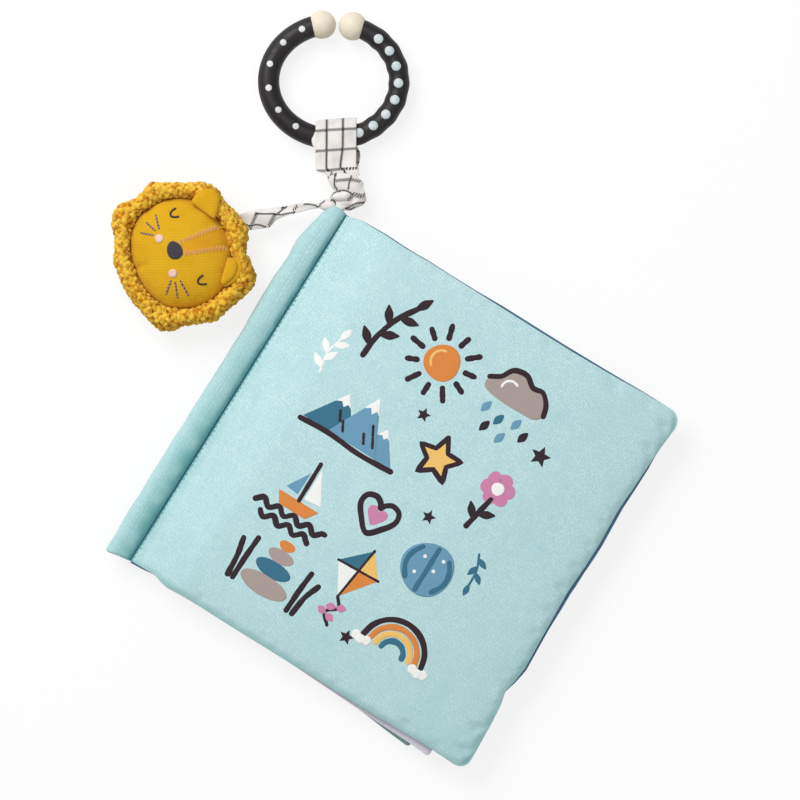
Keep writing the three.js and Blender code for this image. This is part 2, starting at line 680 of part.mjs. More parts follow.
// Ears lie on the mane, one on each side of the crown
const EAR_ACROSS = 12;
const EAR_DOWN = 6;
const earLevel = maneMiddle + MANE_HEIGHT / 2 + FIT_GAP + EAR_HALF_THICKNESS;
for (const [name, sign] of [['lion_left_ear', -1], ['lion_right_ear', 1]]) {
  const spread = radians(EAR_SPREAD) * sign;
  const ear = ellipsoid(EAR_HALF_WIDTH, EAR_HALF_HEIGHT, EAR_HALF_THICKNESS, EAR_ACROSS, EAR_DOWN)
    .rotateZ(-spread)
    .translate(EAR_OUT * Math.sin(spread), EAR_OUT * Math.cos(spread), earLevel);
  piece(lionHead, name, ear, 'mustard');
}

export default book;
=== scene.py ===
"""Looks of a crinkle cloth book with a link ring and a stuffed lion head."""
from __future__ import annotations

import logging
import math
from dataclasses import dataclass, field
from enum import Enum
from functools import lru_cache
from typing import Callable, Sequence

import bpy
import numpy as np
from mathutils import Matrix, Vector
from mathutils.bvhtree import BVHTree


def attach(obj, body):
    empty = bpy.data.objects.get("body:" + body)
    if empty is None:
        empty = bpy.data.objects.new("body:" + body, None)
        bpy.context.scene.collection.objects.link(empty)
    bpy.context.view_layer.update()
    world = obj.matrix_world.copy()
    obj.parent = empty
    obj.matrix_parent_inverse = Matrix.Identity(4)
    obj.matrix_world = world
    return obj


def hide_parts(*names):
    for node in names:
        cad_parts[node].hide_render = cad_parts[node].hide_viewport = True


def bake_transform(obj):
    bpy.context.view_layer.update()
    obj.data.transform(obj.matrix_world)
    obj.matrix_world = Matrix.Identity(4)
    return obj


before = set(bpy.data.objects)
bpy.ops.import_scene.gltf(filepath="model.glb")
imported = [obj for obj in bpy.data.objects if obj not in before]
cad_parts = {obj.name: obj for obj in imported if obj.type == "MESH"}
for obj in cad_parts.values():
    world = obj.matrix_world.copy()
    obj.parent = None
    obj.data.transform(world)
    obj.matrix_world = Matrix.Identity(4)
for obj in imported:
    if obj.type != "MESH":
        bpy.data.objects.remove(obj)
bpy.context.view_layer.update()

log = logging.getLogger("cloth_book")

MM = 0.001
WELD = 1e-6
SLIVER = 1e-7
RAY_HEIGHT = 0.3
SHORTEST = 1e-9
SWELL_FRAMES = 20
RIB_UNIT = math.tau / 20.0  # Scale of a wave texture that has one rib for each metre.

Piece = bpy.types.Object
Material = bpy.types.Material
Socket = bpy.types.NodeSocket
Colour = tuple[int, int, int]
Point = tuple[float, float]
Points = Sequence[Point]
Place = Callable[[np.ndarray, np.ndarray], np.ndarray]


class Body(Enum):
    """The bodies that pieces ride on."""

    BOOK = "book"
    REAR_PAGE = "rear_page"
    FRONT_PAGE = "front_page"
    FRONT_COVER = "front_cover"
    RING_STRAP = "ring_strap"
    LINK_RING = "link_ring"
    LION_STRAP = "lion_strap"
    LION_HEAD = "lion_head"


# ---------------------------------------------------------------- small sums


def smooth(share: np.ndarray) -> np.ndarray:
    """Eases a share from 0 to 1."""
    t = np.clip(share, 0.0, 1.0)
    return t * t * (3.0 - 2.0 * t)


def rounded(share: np.ndarray) -> np.ndarray:
    """Rises from 0 to 1 along a quarter circle."""
    t = 1.0 - np.clip(share, 0.0, 1.0)
    return np.sqrt(1.0 - t * t)


def bell(off: np.ndarray, width: float) -> np.ndarray:
    """Falls from 1 at no distance towards 0 far away."""
    return np.exp(-((off / width) ** 2))


def bulged(turn: np.ndarray, power: float) -> np.ndarray:
    """Raises the size of a sine or cosine to a power and keeps its sign."""
    return np.sign(turn) * np.abs(turn) ** power


def index_of(share: np.ndarray, last: int) -> np.ndarray:
    """Returns the whole number nearest to a share of the last one."""
    return np.rint(share * last).astype(int)


def direction(line: np.ndarray) -> np.ndarray:
    """Returns the unit direction at each point of a line."""
    run = np.gradient(line, axis=0)
    return run / np.maximum(np.hypot(run[:, 0], run[:, 1]), SHORTEST)[:, None]


def even(count: int) -> np.ndarray:
    """Returns evenly spaced shares from 0 to 1."""
    return np.linspace(0.0, 1.0, count)


def circle(count: int) -> np.ndarray:
    """Returns evenly spaced angles round a circle, in radians."""
    return np.linspace(0, math.tau, count, endpoint=False)


def turned(x: np.ndarray, y: np.ndarray, degrees: float) -> tuple[np.ndarray, np.ndarray]:
    """Turns plane coordinates counterclockwise.

    Args:
        x: First coordinate.
        y: Second coordinate.
        degrees: Angle of the turn.

    Returns:
        The turned coordinates.
    """
    angle = math.radians(degrees)
    return x * math.cos(angle) - y * math.sin(angle), x * math.sin(angle) + y * math.cos(angle)


class Ripple:
    """Seeded smooth unevenness, made of a few plane waves."""

    def __init__(self, seed: int, length: float, waves: int = 9) -> None:
        """Draws the waves.

        Args:
            seed: Seed of the draw.
            length: Typical wavelength, in the unit of the coordinates.
            waves: Number of waves.
        """
        draw = np.random.default_rng(seed)
        angle = draw.uniform(0.0, math.tau, waves)
        size = math.tau / (length * draw.uniform(0.7, 1.8, waves))
        self.across = np.cos(angle) * size
        self.along = np.sin(angle) * size
        self.phase = draw.uniform(0.0, math.tau, waves)
        self.weight = draw.uniform(0.5, 1.0, waves)
        self.weight /= self.weight.sum()

    def at(self, x: np.ndarray, y: np.ndarray) -> np.ndarray:
        """Returns the unevenness, from about -1 to 1, at plane coordinates.

        Args:
            x: First coordinates.
            y: Second coordinates.

        Returns:
            Values from about -1 to 1.
        """
        total = np.zeros(np.broadcast(x, y).shape)
        for a, b, p, w in zip(self.across, self.along, self.phase, self.weight):
            total = total + w * np.sin(a * x + b * y + p)
        return 1.8 * total


# ---------------------------------------------------------------- modelling


def only(piece: Piece) -> None:
    """Selects one piece alone and makes it active.

    Args:
        piece: The piece.
    """
    bpy.ops.object.select_all(action="DESELECT")
    piece.select_set(True)
    bpy.context.view_layer.objects.active = piece


def in_edit(piece: Piece, *steps: Callable[[], object]) -> None:
    """Runs edit-mode steps on all of a piece.

    Args:
        piece: Piece to edit.
        steps: Operator calls, run in order with all selected.
    """
    only(piece)
    bpy.ops.object.mode_set(mode="EDIT")
    bpy.ops.mesh.select_mode(type="VERT")
    bpy.ops.mesh.select_all(action="SELECT")
    for step in steps:
        step()
    bpy.ops.object.mode_set(mode="OBJECT")


def corners(piece: Piece) -> np.ndarray:
    """Returns a piece's vertices as an array.

    Args:
        piece: The piece.

    Returns:
        Three coordinates for each vertex.
    """
    flat = np.empty(len(piece.data.vertices) * 3)
    piece.data.vertices.foreach_get("co", flat)
    return flat.reshape(-1, 3)


def set_corners(piece: Piece, places: np.ndarray) -> None:
    """Moves a piece's vertices to given places."""
    piece.data.vertices.foreach_set("co", np.ascontiguousarray(places, dtype=float).ravel())
    piece.data.update()


def weld() -> set[str]:
    """Joins the selected vertices that lie on each other."""
    return bpy.ops.mesh.remove_doubles(threshold=WELD)


def close_edges(piece: Piece, close: Callable[[], object]) -> None:
    """Closes the open edges of a piece.

    Args:
        piece: Piece with open edges.
        close: Operator call that fills between them.
    """
    in_edit(
        piece,
        lambda: bpy.ops.mesh.select_all(action="DESELECT"),
        lambda: bpy.ops.mesh.select_mode(type="EDGE"),
        lambda: bpy.ops.mesh.select_non_manifold(extend=False, use_wire=False,
                                                 use_multi_face=False),
        close,
    )


def finish_mesh(piece: Piece, angle: float = 180.0) -> Piece:
    """Welds a piece, turns its faces out and smooths it.

    Args:
        piece: Piece to finish.
        angle: Edges sharper than this stay sharp.

    Returns:
        The piece.
    """
    in_edit(
        piece,
        weld,
        lambda: bpy.ops.mesh.dissolve_degenerate(threshold=SLIVER),
        lambda: bpy.ops.mesh.select_all(action="SELECT"),
        lambda: bpy.ops.mesh.normals_make_consistent(inside=False),
    )
    only(piece)
    if angle >= 180.0:
        bpy.ops.object.shade_smooth()
    else:
        bpy.ops.object.shade_smooth_by_angle(angle=math.radians(angle))
    return piece


def close_tape(piece: Piece) -> Piece:
    """Closes both ends of a tube of tape and finishes it.

    Args:
        piece: The piece.

    Returns:
        The piece.
    """
    in_edit(piece, weld)
    close_edges(piece, bpy.ops.mesh.edge_face_add)
    return finish_mesh(piece, 60.0)


def surface_map(piece: Piece) -> tuple[np.ndarray, np.ndarray]:
    """Reads a piece's surface map.

    Args:
        piece: Piece to read.

    Returns:
        Both coordinates, for each corner of its faces.
    """
    layer = piece.data.uv_layers[0].data
    flat = np.empty(len(layer) * 2, dtype=np.float32)
    layer.foreach_get("uv", flat)
    return flat[0::2], flat[1::2]


def set_surface_map(piece: Piece, across: np.ndarray, along: np.ndarray) -> None:
    """Sets a piece's surface map, for each corner of its faces."""
    flat = np.stack([across, along], axis=1).ravel()
    piece.data.uv_layers[0].data.foreach_set("uv", flat)


def bead(segments: int, rings: int) -> Piece:
    """Adds a ball of radius 1 to shape small things from.

    Args:
        segments: Segments round it.
        rings: Rings from pole to pole.

    Returns:
        The ball.
    """
    bpy.ops.object.select_all(action="DESELECT")
    bpy.ops.mesh.primitive_uv_sphere_add(segments=segments, ring_count=rings, radius=1.0)
    return bpy.context.object


def copies(one: Piece, name: str, places: Sequence[np.ndarray]) -> Piece:
    """Turns a small form into one piece with many copies of it.

    Args:
        one: The form.
        name: Name of the piece.
        places: Places of the form's vertices, for each copy.

    Returns:
        The piece.
    """
    size = len(one.data.vertices)
    faces = [tuple(face.vertices) for face in one.data.polygons]
    numbered = [tuple(k + size * i for k in face) for i in range(len(places)) for face in faces]
    mesh = bpy.data.meshes.new(name)
    mesh.from_pydata(np.vstack(places).tolist(), [], numbered)
    one.data = mesh
    one.name = name
    only(one)
    bpy.ops.object.shade_smooth()
    return one


def cloth_grid(
    name: str,
    shares_across: np.ndarray,
    shares_along: np.ndarray,
    place: Place,
    size: Point = (1.0, 1.0),
) -> Piece:
    """Adds a grid and moves its points to a curved surface.

    Args:
        name: Name of the piece.
        shares_across: Shares of the first direction, one for each column.
        shares_along: Shares of the second direction, one for each row.
        place: Gives the places in metres for arrays of both shares.
        size: Length and width of the cloth in metres, for its surface map.

    Returns:
        The piece, not yet welded.
    """
    columns, rows = len(shares_across), len(shares_along)
    bpy.ops.object.select_all(action="DESELECT")
    bpy.ops.mesh.primitive_grid_add(
        x_subdivisions=columns - 1, y_subdivisions=rows - 1, size=2.0, calc_uvs=True
    )
    piece = bpy.context.object
    piece.name = piece.data.name = name
    flat = corners(piece)
    column = index_of((flat[:, 0] + 1.0) / 2.0, columns - 1)
    row = index_of((flat[:, 1] + 1.0) / 2.0, rows - 1)
    u, v = np.asarray(shares_across)[column], np.asarray(shares_along)[row]
    set_corners(piece, place(u, v))
    loops = np.empty(len(piece.data.loops), dtype=np.int32)
    piece.data.loops.foreach_get("vertex_index", loops)
    set_surface_map(piece, u[loops] * size[0], v[loops] * size[1])
    return piece


def join(name: str, pieces: Sequence[Piece]) -> Piece:
    """Joins pieces into one.

    Args:
        name: Name of the joined piece.
        pieces: Pieces to join, at least one.

    Returns:
        The joined piece.
    """
    bpy.ops.object.select_all(action="DESELECT")
    for piece in pieces:
        piece.select_set(True)
    bpy.context.view_layer.objects.active = pieces[0]
    if len(pieces) > 1:
        bpy.ops.object.join()
    joined = bpy.context.view_layer.objects.active
    joined.name = joined.data.name = name
    return joined


def dress(
    piece: Piece,
    material: Material,
    body: Body,
    slot: str | None = None,
    replaced: Sequence[str] = (),
    span: tuple[Body, tuple[float, float, float], tuple[float, float, float]] | None = None,
) -> Piece:
    """Gives a finished piece its material and, unless it spans a joint, its body, and hides the
    nodes that it stands for.

    Args:
        piece: Finished piece.
        material: Its material.
        body: Body that it rides on.
        slot: Material slot of the record; not used.
        replaced: Nodes that it replaces.
        span: For cloth across a joint, the far end's body, and the change's start and end; when
            given, the piece's transform is applied and it rides on no body.

    Returns:
        The piece.
    """
    if not piece.data.materials:
        piece.data.materials.append(material)
    if span:
        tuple(span[1])
        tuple(span[2])
        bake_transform(piece)
    else:
        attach(piece, body.value)
    if replaced:
        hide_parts(*replaced)
    log.info("%s: %d faces on %s", piece.name, len(piece.data.polygons), body.value)
    return piece


class Drape:
    """The skin of a finished piece, for laying thin things on it from above or below."""

    def __init__(self, piece: Piece) -> None:
        """Keeps a search tree of the piece."""
        self.tree = BVHTree.FromObject(piece, bpy.context.evaluated_depsgraph_get())

    def level(self, x: float, y: float, side: float, fallback: float) -> tuple[float, Vector]:
        """Finds the skin at a place.

        Args:
            x: First coordinate in metres.
            y: Second coordinate in metres.
            side: 1 for the upper skin, -1 for the lower.
            fallback: Level where the skin has no such place.

        Returns:
            The level and the skin's normal.
        """
        start = Vector((x, y, side * RAY_HEIGHT))
        hit, normal, _, _ = self.tree.ray_cast(start, Vector((0, 0, -side)))
        if hit is None:
            return fallback, Vector((0, 0, side))
        return hit.z, normal

    def lay(self, x: np.ndarray, y: np.ndarray, lift: np.ndarray, side: float = 1.0) -> np.ndarray:
        """Places points on the skin, lifted along its normal.

        Args:
            x: First coordinates in metres.
            y: Second coordinates in metres.
            lift: Heights over the skin in metres.
            side: 1 for the upper skin, -1 for the lower.

        Returns:
            The places.
        """
        known: dict[Point, tuple[float, Vector]] = {}
        out = np.empty((len(x), 3))
        missing = -side
        first = next((z for z in (self.level(float(a), float(b), side, missing)[0] for a,
                                  b in zip(x, y))
                      if z != missing), 0.0)
        last = first
        for i, (a, b, h) in enumerate(zip(x, y, lift)):
            key = (round(float(a), 6), round(float(b), 6))
            if key not in known:
                known[key] = self.level(float(a), float(b), side, last)
            z, normal = known[key]
            last = z
            out[i] = (a + normal.x * h, b + normal.y * h, z + normal.z * h)
        return out

    def runs(self, line: np.ndarray, step: float, side: float = 1.0) -> list[np.ndarray]:
        """Cuts a line where the skin ends or steps down.

        Args:
            line: Points along the line in metres.
            step: Change of level from point to point that counts as a step.
            side: 1 for the upper skin, -1 for the lower.

        Returns:
            The pieces of the line that lie on whole cloth.
        """
        pieces: list[list[np.ndarray]] = [[]]
        before = 0.0
        for place in line:
            z, _ = self.level(float(place[0]), float(place[1]), side, -side)
            if z == -side or (pieces[-1] and abs(z - before) > step):
                pieces.append([])
            if z != -side:
                pieces[-1].append(place)
            before = z
        return [np.array(piece) for piece in pieces if len(piece) > 2]


def spline(points: Points, closed: bool = False, steps: int = 8) -> np.ndarray:
    """Runs a smooth line through points.

    Args:
        points: Places on a plane.
        closed: Whether it comes back to its start.
        steps: Points for each piece of it.

    Returns:
        Points along the line.
    """
    p = np.array(points, dtype=float)
    p = np.vstack([p[-1:], p, p[:2]]) if closed else np.vstack([2 * p[:1] - p[1:2], p,
                                                                2 * p[-1:] - p[-2:-1]])
    out = []
    for a, b, c, d in zip(p, p[1:], p[2:], p[3:]):
        for t in np.arange(steps) / steps:
            out.append(0.5 * (2 * b + (c - a) * t + (2 * a - 5 * b + 4 * c - d) * t**2
                              + (3 * b - a - 3 * c + d) * t**3))
    if not closed:
        out.append(p[-2])
    return np.array(out)


def dense(points: Points, step: float, closed: bool = True) -> np.ndarray:
    """Adds points along straight edges.

    Args:
        points: Corners.
        step: Largest spacing.
        closed: Whether the last corner joins the first.

    Returns:
        The points, the first one not repeated.
    """
    p = np.array(points, dtype=float)
    ends = np.vstack([p[1:], p[:1]]) if closed else p[1:]
    out = []
    for a, b in zip(p, ends):
        count = max(1, int(np.hypot(*(b - a)) / step))
        out += [a + (b - a) * i / count for i in range(count)]
    return np.array(out if closed else [*out, p[-1]])


NO_LINES = (-66.0, -66.0, 0.0, 0.05, 0.05)  # A check whose lines all fall outside the form.


@dataclass(frozen=True)
class Cushion:
    """A small folded or stuffed form over an outline that its centre sees all of.

    Attributes:
        outline: Corners in millimetres on the piece's own axes.
        centre: Its centre there.
        base: Level of its rim in metres over the table, in millimetres.
        top: Height over the rim.
        low: Depth under the rim.
        full: How full its section is: low for boxy, 1 for round.
        soft: How many times the corners are softened.
        check: Origin, turn and scales of the cloth's check, in millimetres.
        wrinkle: Height of its wrinkles in millimetres.
        seed: Seed of its wrinkles.
        slope: Slant of its levels, across and up its own axes.
    """

    outline: Points
    centre: Point
    base: float
    top: float
    low: float
    full: float = 0.7
    soft: int = 4
    check: tuple[float, float, float, float, float] = (0.0, 0.0, 0.0, 1.0, 1.0)
    wrinkle: float = 0.0
    seed: int = 41
    slope: Point = (0.0, 0.0)

    def build(self, name: str, origin: Point, degrees: float) -> Piece:
        """Builds the form.

        Args:
            name: Name of the piece.
            origin: Where the piece's own axes start, in metres.
            degrees: Turn of the piece's own axes.

        Returns:
            The piece.
        """
        edge = dense(self.outline, 0.45)
        for _ in range(self.soft):
            edge = (np.roll(edge, 1, axis=0) + 2 * edge + np.roll(edge, -1, axis=0)) / 4
        edge = np.vstack([edge, edge[:1]])
        if np.sum(edge[:-1, 0] * edge[1:, 1] - edge[1:, 0] * edge[:-1, 1]) < 0:
            edge = edge[::-1]
        count = len(edge) - 1
        steps = 11
        angle = np.concatenate([np.linspace(0, 0.5, steps) ** 0.9,
                                1 - np.linspace(0.5, 0, 6)[1:]]) * math.pi
        angle = np.clip(angle, 0, math.pi)

        def place(u: np.ndarray, v: np.ndarray) -> np.ndarray:
            """Places points of the form.

            Args:
                u: Shares round it.
                v: Shares along it.

            Returns:
                The places.
            """
            i = index_of(u, count)
            k = index_of(v, len(angle) - 1)
            share = np.sin(angle[k])
            share = np.where((k == 0) | (k == len(angle) - 1), 0.0, share)
            x = self.centre[0] + (edge[i, 0] - self.centre[0]) * share
            y = self.centre[1] + (edge[i, 1] - self.centre[1]) * share
            c = np.cos(angle[k])
            rise = bulged(c, self.full) * np.where(c > 0, self.top, self.low)
            fold = self.wrinkle * Ripple(self.seed, 3.2).at(x, y) * np.abs(c) ** 0.5 * (c > 0)
            lean = self.slope[0] * (x - self.centre[0]) + self.slope[1] * (y - self.centre[1])
            z = np.maximum(self.base + rise + fold + lean, 0.3)
            gx, gy = turned(x * MM, y * MM, degrees)
            return np.stack([gx + origin[0], gy + origin[1], z * MM], axis=1)

        piece = cloth_grid(name, even(count + 1), even(len(angle)), place)
        u, v = surface_map(piece)
        i = index_of(u, count)
        k = index_of(v, len(angle) - 1)
        reach = np.where(angle[k] <= math.pi / 2, angle[k] / (math.pi / 2),
                         2 - angle[k] / (math.pi / 2))
        x = self.centre[0] + (edge[i, 0] - self.centre[0]) * reach - self.check[0]
        y = self.centre[1] + (edge[i, 1] - self.centre[1]) * reach - self.check[1]
        x, y = turned(x, y, -self.check[2])
        set_surface_map(piece, x * self.check[3] * MM, y * self.check[4] * MM)
        return finish_mesh(piece, 75.0)


@dataclass(frozen=True)
class Patch:
    """A thin filled shape laid on cloth, such as a printed or sewn motif.

    Attributes:
        raise_: Height over the cloth.
        sink: Depth under the cloth.
        rim: Height of its edge as a share of raise_.
        drop: How far its sides may hang below its middle.
    """

    raise_: float = 0.07 * MM
    sink: float = 0.12 * MM
    rim: float = 0.75
    drop: float = 1.0

    def fill(
        self, name: str, skin: Drape, outline: np.ndarray, centre: Point, side: float = 1.0
    ) -> Piece:
        """Fills an outline that every point of can be seen from its centre.

        Args:
            name: Name of the piece.
            skin: Cloth that it lies on.
            outline: Points round the outline in metres, the last one not repeated.
            centre: Its centre in metres.
            side: 1 for the upper skin, -1 for the lower.

        Returns:
            The piece.
        """
        reach = float(np.hypot(outline[:, 0] - centre[0], outline[:, 1] - centre[1]).max())
        steps = max(2, int(reach / (1.6 * MM)))
        inner = list(np.linspace(0.0, 0.94, steps + 1))
        rings = [(s, 1.0) for s in inner] + [(1.0, self.rim), (1.0, -1.0), (0.5, -1.0), (0.0, -1.0)]
        share = np.array([r[0] for r in rings])
        level = np.array([self.raise_ * r[1] if r[1] > 0 else -self.sink for r in rings])
        around = np.vstack([outline, outline[:1]])

        def place(u: np.ndarray, v: np.ndarray) -> np.ndarray:
            """Places points of the filling.

            Args:
                u: Shares round it.
                v: Shares along it.

            Returns:
                The places.
            """
            i = index_of(u, len(outline))
            k = index_of(v, len(rings) - 1)
            x = centre[0] + (around[i, 0] - centre[0]) * share[k]
            y = centre[1] + (around[i, 1] - centre[1]) * share[k]
            return skin.lay(x, y, level[k], side)

        piece = cloth_grid(name, even(len(outline) + 1), even(len(rings)), place)
        return finish_mesh(piece)

    def stroke(
        self,
        name: str,
        skin: Drape,
        points: np.ndarray,
        widths: float | np.ndarray,
        side: float = 1.0,
        around: int = 8,
    ) -> Piece:
        """Lays a line with round ends.

        Args:
            name: Name of the piece.
            skin: Cloth that it lies on.
            points: Points along the line in metres.
            widths: Width in metres, one or one for each point.
            side: 1 for the upper skin, -1 for the lower.
            around: Points round its section.

        Returns:
            The piece.
        """
        run = direction(points)
        wide = np.full(len(points), widths) if np.isscalar(widths) else np.asarray(widths)
        ends = 4
        angle = np.linspace(0.0, math.pi / 2, ends, endpoint=False)
        first = points[0] - run[0] * (wide[0] / 2) * np.cos(angle)[:, None]
        last = points[-1] + run[-1] * (wide[-1] / 2) * np.cos(angle)[::-1, None]
        path = np.vstack([first, points, last])
        runs = np.vstack([np.repeat(run[:1], ends, 0), run, np.repeat(run[-1:], ends, 0)])
        half = np.concatenate([np.sin(angle) * wide[0], wide, np.sin(angle)[::-1] * wide[-1]]) / 2
        flat = np.concatenate([np.minimum(1.0, 2.0 * np.sin(angle)), np.ones(len(points)),
                               np.minimum(1.0, 2.0 * np.sin(angle))[::-1]])

        def place(u: np.ndarray, v: np.ndarray) -> np.ndarray:
            """Places points of the line.

            Args:
                u: Shares round it.
                v: Shares along it.

            Returns:
                The places.
            """
            i = index_of(v, len(path) - 1)
            turn = math.tau * u
            out = bulged(np.cos(turn), 0.7)
            up = bulged(np.sin(turn), 0.5)
            x = path[i, 0] - runs[i, 1] * half[i] * out
            y = path[i, 1] + runs[i, 0] * half[i] * out
            lift = np.where(up > 0, up * self.raise_, up * self.sink) * flat[i]
            laid = skin.lay(x, y, lift, side)
            middle = skin.lay(path[i, 0], path[i, 1], lift, side)[:, 2]
            laid[:, 2] = middle + np.clip(laid[:, 2] - middle, -self.drop, self.drop)
            return laid

        piece = cloth_grid(name, even(around + 1), even(len(path)), place)
        return finish_mesh(piece)


# ---------------------------------------------------------------- finishes


def linear(red: int, green: int, blue: int) -> tuple[float, float, float, float]:
    """Returns a display colour as scene-linear red, green, blue and alpha.

    Args:
        red: Red from 0 to 255.
        green: Green from 0 to 255.
        blue: Blue from 0 to 255.

    Returns:
        The four channels.
    """
    def one(value: int) -> float:
        """Returns one channel as linear."""
        s = value / 255.0
        return s / 12.92 if s <= 0.04045 else ((s + 0.055) / 1.055) ** 2.4
    return one(red), one(green), one(blue), 1.0


class Shade:
    """Builds one material, node by node."""

    def __init__(self, name: str) -> None:
        """Starts a material with a Principled surface.

        Args:
            name: Name of the piece.
        """
        self.material = bpy.data.materials.new(name)
        self.material.use_nodes = True
        self.nodes = self.material.node_tree.nodes
        self.links = self.material.node_tree.links
        self.surface = next(n for n in self.nodes if n.type == "BSDF_PRINCIPLED")

    def feed(self, socket: Socket, value: object) -> None:
        """Links a source to a socket, or sets the socket's value.

        Args:
            socket: Socket to feed.
            value: A source, or a constant.
        """
        if isinstance(value, Socket):
            self.links.new(value, socket)
        else:
            socket.default_value = value

    def add(self, kind: str, **settings: object) -> bpy.types.Node:
        """Adds a node.

        Args:
            kind: Type of the node.
            settings: Its properties, and inputs by name with spaces as underscores.

        Returns:
            The node.
        """
        node = self.nodes.new(kind)
        for key, value in settings.items():
            if hasattr(node, key):
                setattr(node, key, value)
            else:
                self.feed(node.inputs[key.replace("_", " ")], value)
        return node

    def fix(self, **values: object) -> None:
        """Feeds the surface's own sockets, by name with spaces as underscores."""
        for key, value in values.items():
            self.feed(self.surface.inputs[key.replace("_", " ")], value)

    def coords(self, on_surface: bool = False) -> Socket:
        """Returns object coordinates, or the piece's surface map, in metres."""
        node = self.add("ShaderNodeTexCoord")
        return node.outputs["UV" if on_surface else "Object"]

    def mapped(
        self,
        source: Socket,
        scale: float | tuple[float, float, float] = 1.0,
        turn: float = 0.0,
        shift: tuple[float, float, float] = (0.0, 0.0, 0.0),
    ) -> Socket:
        """Scales, turns and shifts coordinates.

        Args:
            source: Coordinates.
            scale: Scale, one or for each axis.
            turn: Turn about Z in degrees.
            shift: Shift after the scale.

        Returns:
            The new coordinates.
        """
        scales = (scale,) * 3 if np.isscalar(scale) else scale
        node = self.add("ShaderNodeMapping", Vector=source, Scale=scales,
                        Rotation=(0.0, 0.0, math.radians(turn)), Location=shift)
        return node.outputs["Vector"]

    def noise(
        self, source: Socket, scale: float, detail: float = 2.0, rough: float = 0.5
    ) -> Socket:
        """Returns smooth noise from 0 to 1, with scale features for each unit.

        Args:
            source: Coordinates or value that it starts from.
            scale: Features for each unit.
            detail: Finer layers that it has.
            rough: Strength of the finer layers.

        Returns:
            The result.
        """
        node = self.add("ShaderNodeTexNoise", Vector=source, Scale=scale, Detail=detail,
                        Roughness=rough)
        return node.outputs["Fac"]

    def wave(
        self, source: Socket, scale: float, axis: str = "X", wander: float = 0.0
    ) -> Socket:
        """Returns parallel sine ribs across an axis, spaced RIB_UNIT over scale.

        Args:
            source: Coordinates or value that it starts from.
            scale: Features for each unit.
            axis: Axis that the ribs cross.
            wander: How far the ribs wander.

        Returns:
            The result.
        """
        node = self.add("ShaderNodeTexWave", wave_type="BANDS", bands_direction=axis,
                        Vector=source, Scale=scale, Distortion=wander)
        return node.outputs["Fac"]

    def sum(self, kind: str, *values: object) -> Socket:
        """Returns a Math node's result for numbers or sockets.

        Args:
            kind: Operation of the node.
            values: Its inputs, numbers or sockets.

        Returns:
            The result.
        """
        node = self.add("ShaderNodeMath", operation=kind)
        for i, value in enumerate(values):
            self.feed(node.inputs[i], value)
        return node.outputs[0]

    def times(self, first: object, *others: object) -> Socket:
        """Returns the product of numbers or sockets.

        Args:
            first: First factor.
            others: Other factors.

        Returns:
            The product.
        """
        for other in others:
            first = self.sum("MULTIPLY", first, other)
        return first

    def weave(self, source: Socket, scale: float, wander: float) -> Socket:
        """Returns a plain weave of crossed ribs."""
        return self.times(*(self.wave(source, scale, axis, wander) for axis in "XY"))

    def ramp(
        self, source: Socket, low: float, high: float, out: Point = (0.0, 1.0)
    ) -> Socket:
        """Maps a value from low..high to out, clamped and eased.

        Args:
            source: Value to map.
            low: Value where the change starts.
            high: Value where the change ends.
            out: Results at both ends.

        Returns:
            The result.
        """
        node = self.add("ShaderNodeMapRange", interpolation_type="SMOOTHSTEP", Value=source,
                        From_Min=low, From_Max=high, To_Min=out[0], To_Max=out[1])
        return node.outputs["Result"]

    def mix(self, share: object, low: object, high: object) -> Socket:
        """Mixes two colours, each a display colour or a socket, by a share.

        Args:
            share: Share of the second colour.
            low: First colour, a display colour or a socket.
            high: Second colour, the same way.

        Returns:
            The mixed colour.
        """
        node = self.add("ShaderNodeMix", data_type="RGBA", Factor=share)
        for socket, value in zip((node.inputs[6], node.inputs[7]), (low, high)):
            self.feed(socket, value if isinstance(value, Socket) else linear(*value))
        return node.outputs[2]

    def split(self, source: Socket) -> tuple[Socket, Socket]:
        """Returns the first two coordinates of a vector."""
        node = self.add("ShaderNodeSeparateXYZ", Vector=source)
        return node.outputs[0], node.outputs[1]

    def bump(self, height: Socket, depth: float, strength: float = 1.0) -> None:
        """Adds relief to the surface.

        Args:
            height: Height from 0 to 1.
            depth: Depth of the relief in metres.
            strength: Share of it that shows.
        """
        node = self.add("ShaderNodeBump", Distance=depth, Strength=strength, Height=height)
        before = self.surface.inputs["Normal"]
        if before.is_linked:
            self.feed(node.inputs["Normal"], before.links[0].from_socket)
        self.fix(Normal=node.outputs["Normal"])


# Painted shade in the spine's sewn groove: SEAM_SHADE on the sewn line, ROLL_SHADE in the hollow
# beside it.
SEAM_SHADE: Colour = (84, 166, 176)
ROLL_SHADE: Colour = (100, 168, 165)
STITCH_PITCH = 2.05 * MM
COTTON_RIB = 0.42 * MM
WEAVE_DEPTH = 0.07 * MM


class Finish:
    """A look that builds its own material."""

    def make(self) -> Material:
        """Builds the material."""
        raise NotImplementedError


@lru_cache(maxsize=None)
def make(finish: Finish) -> Material:
    """Returns a finish's material, built the first time."""
    return finish.make()


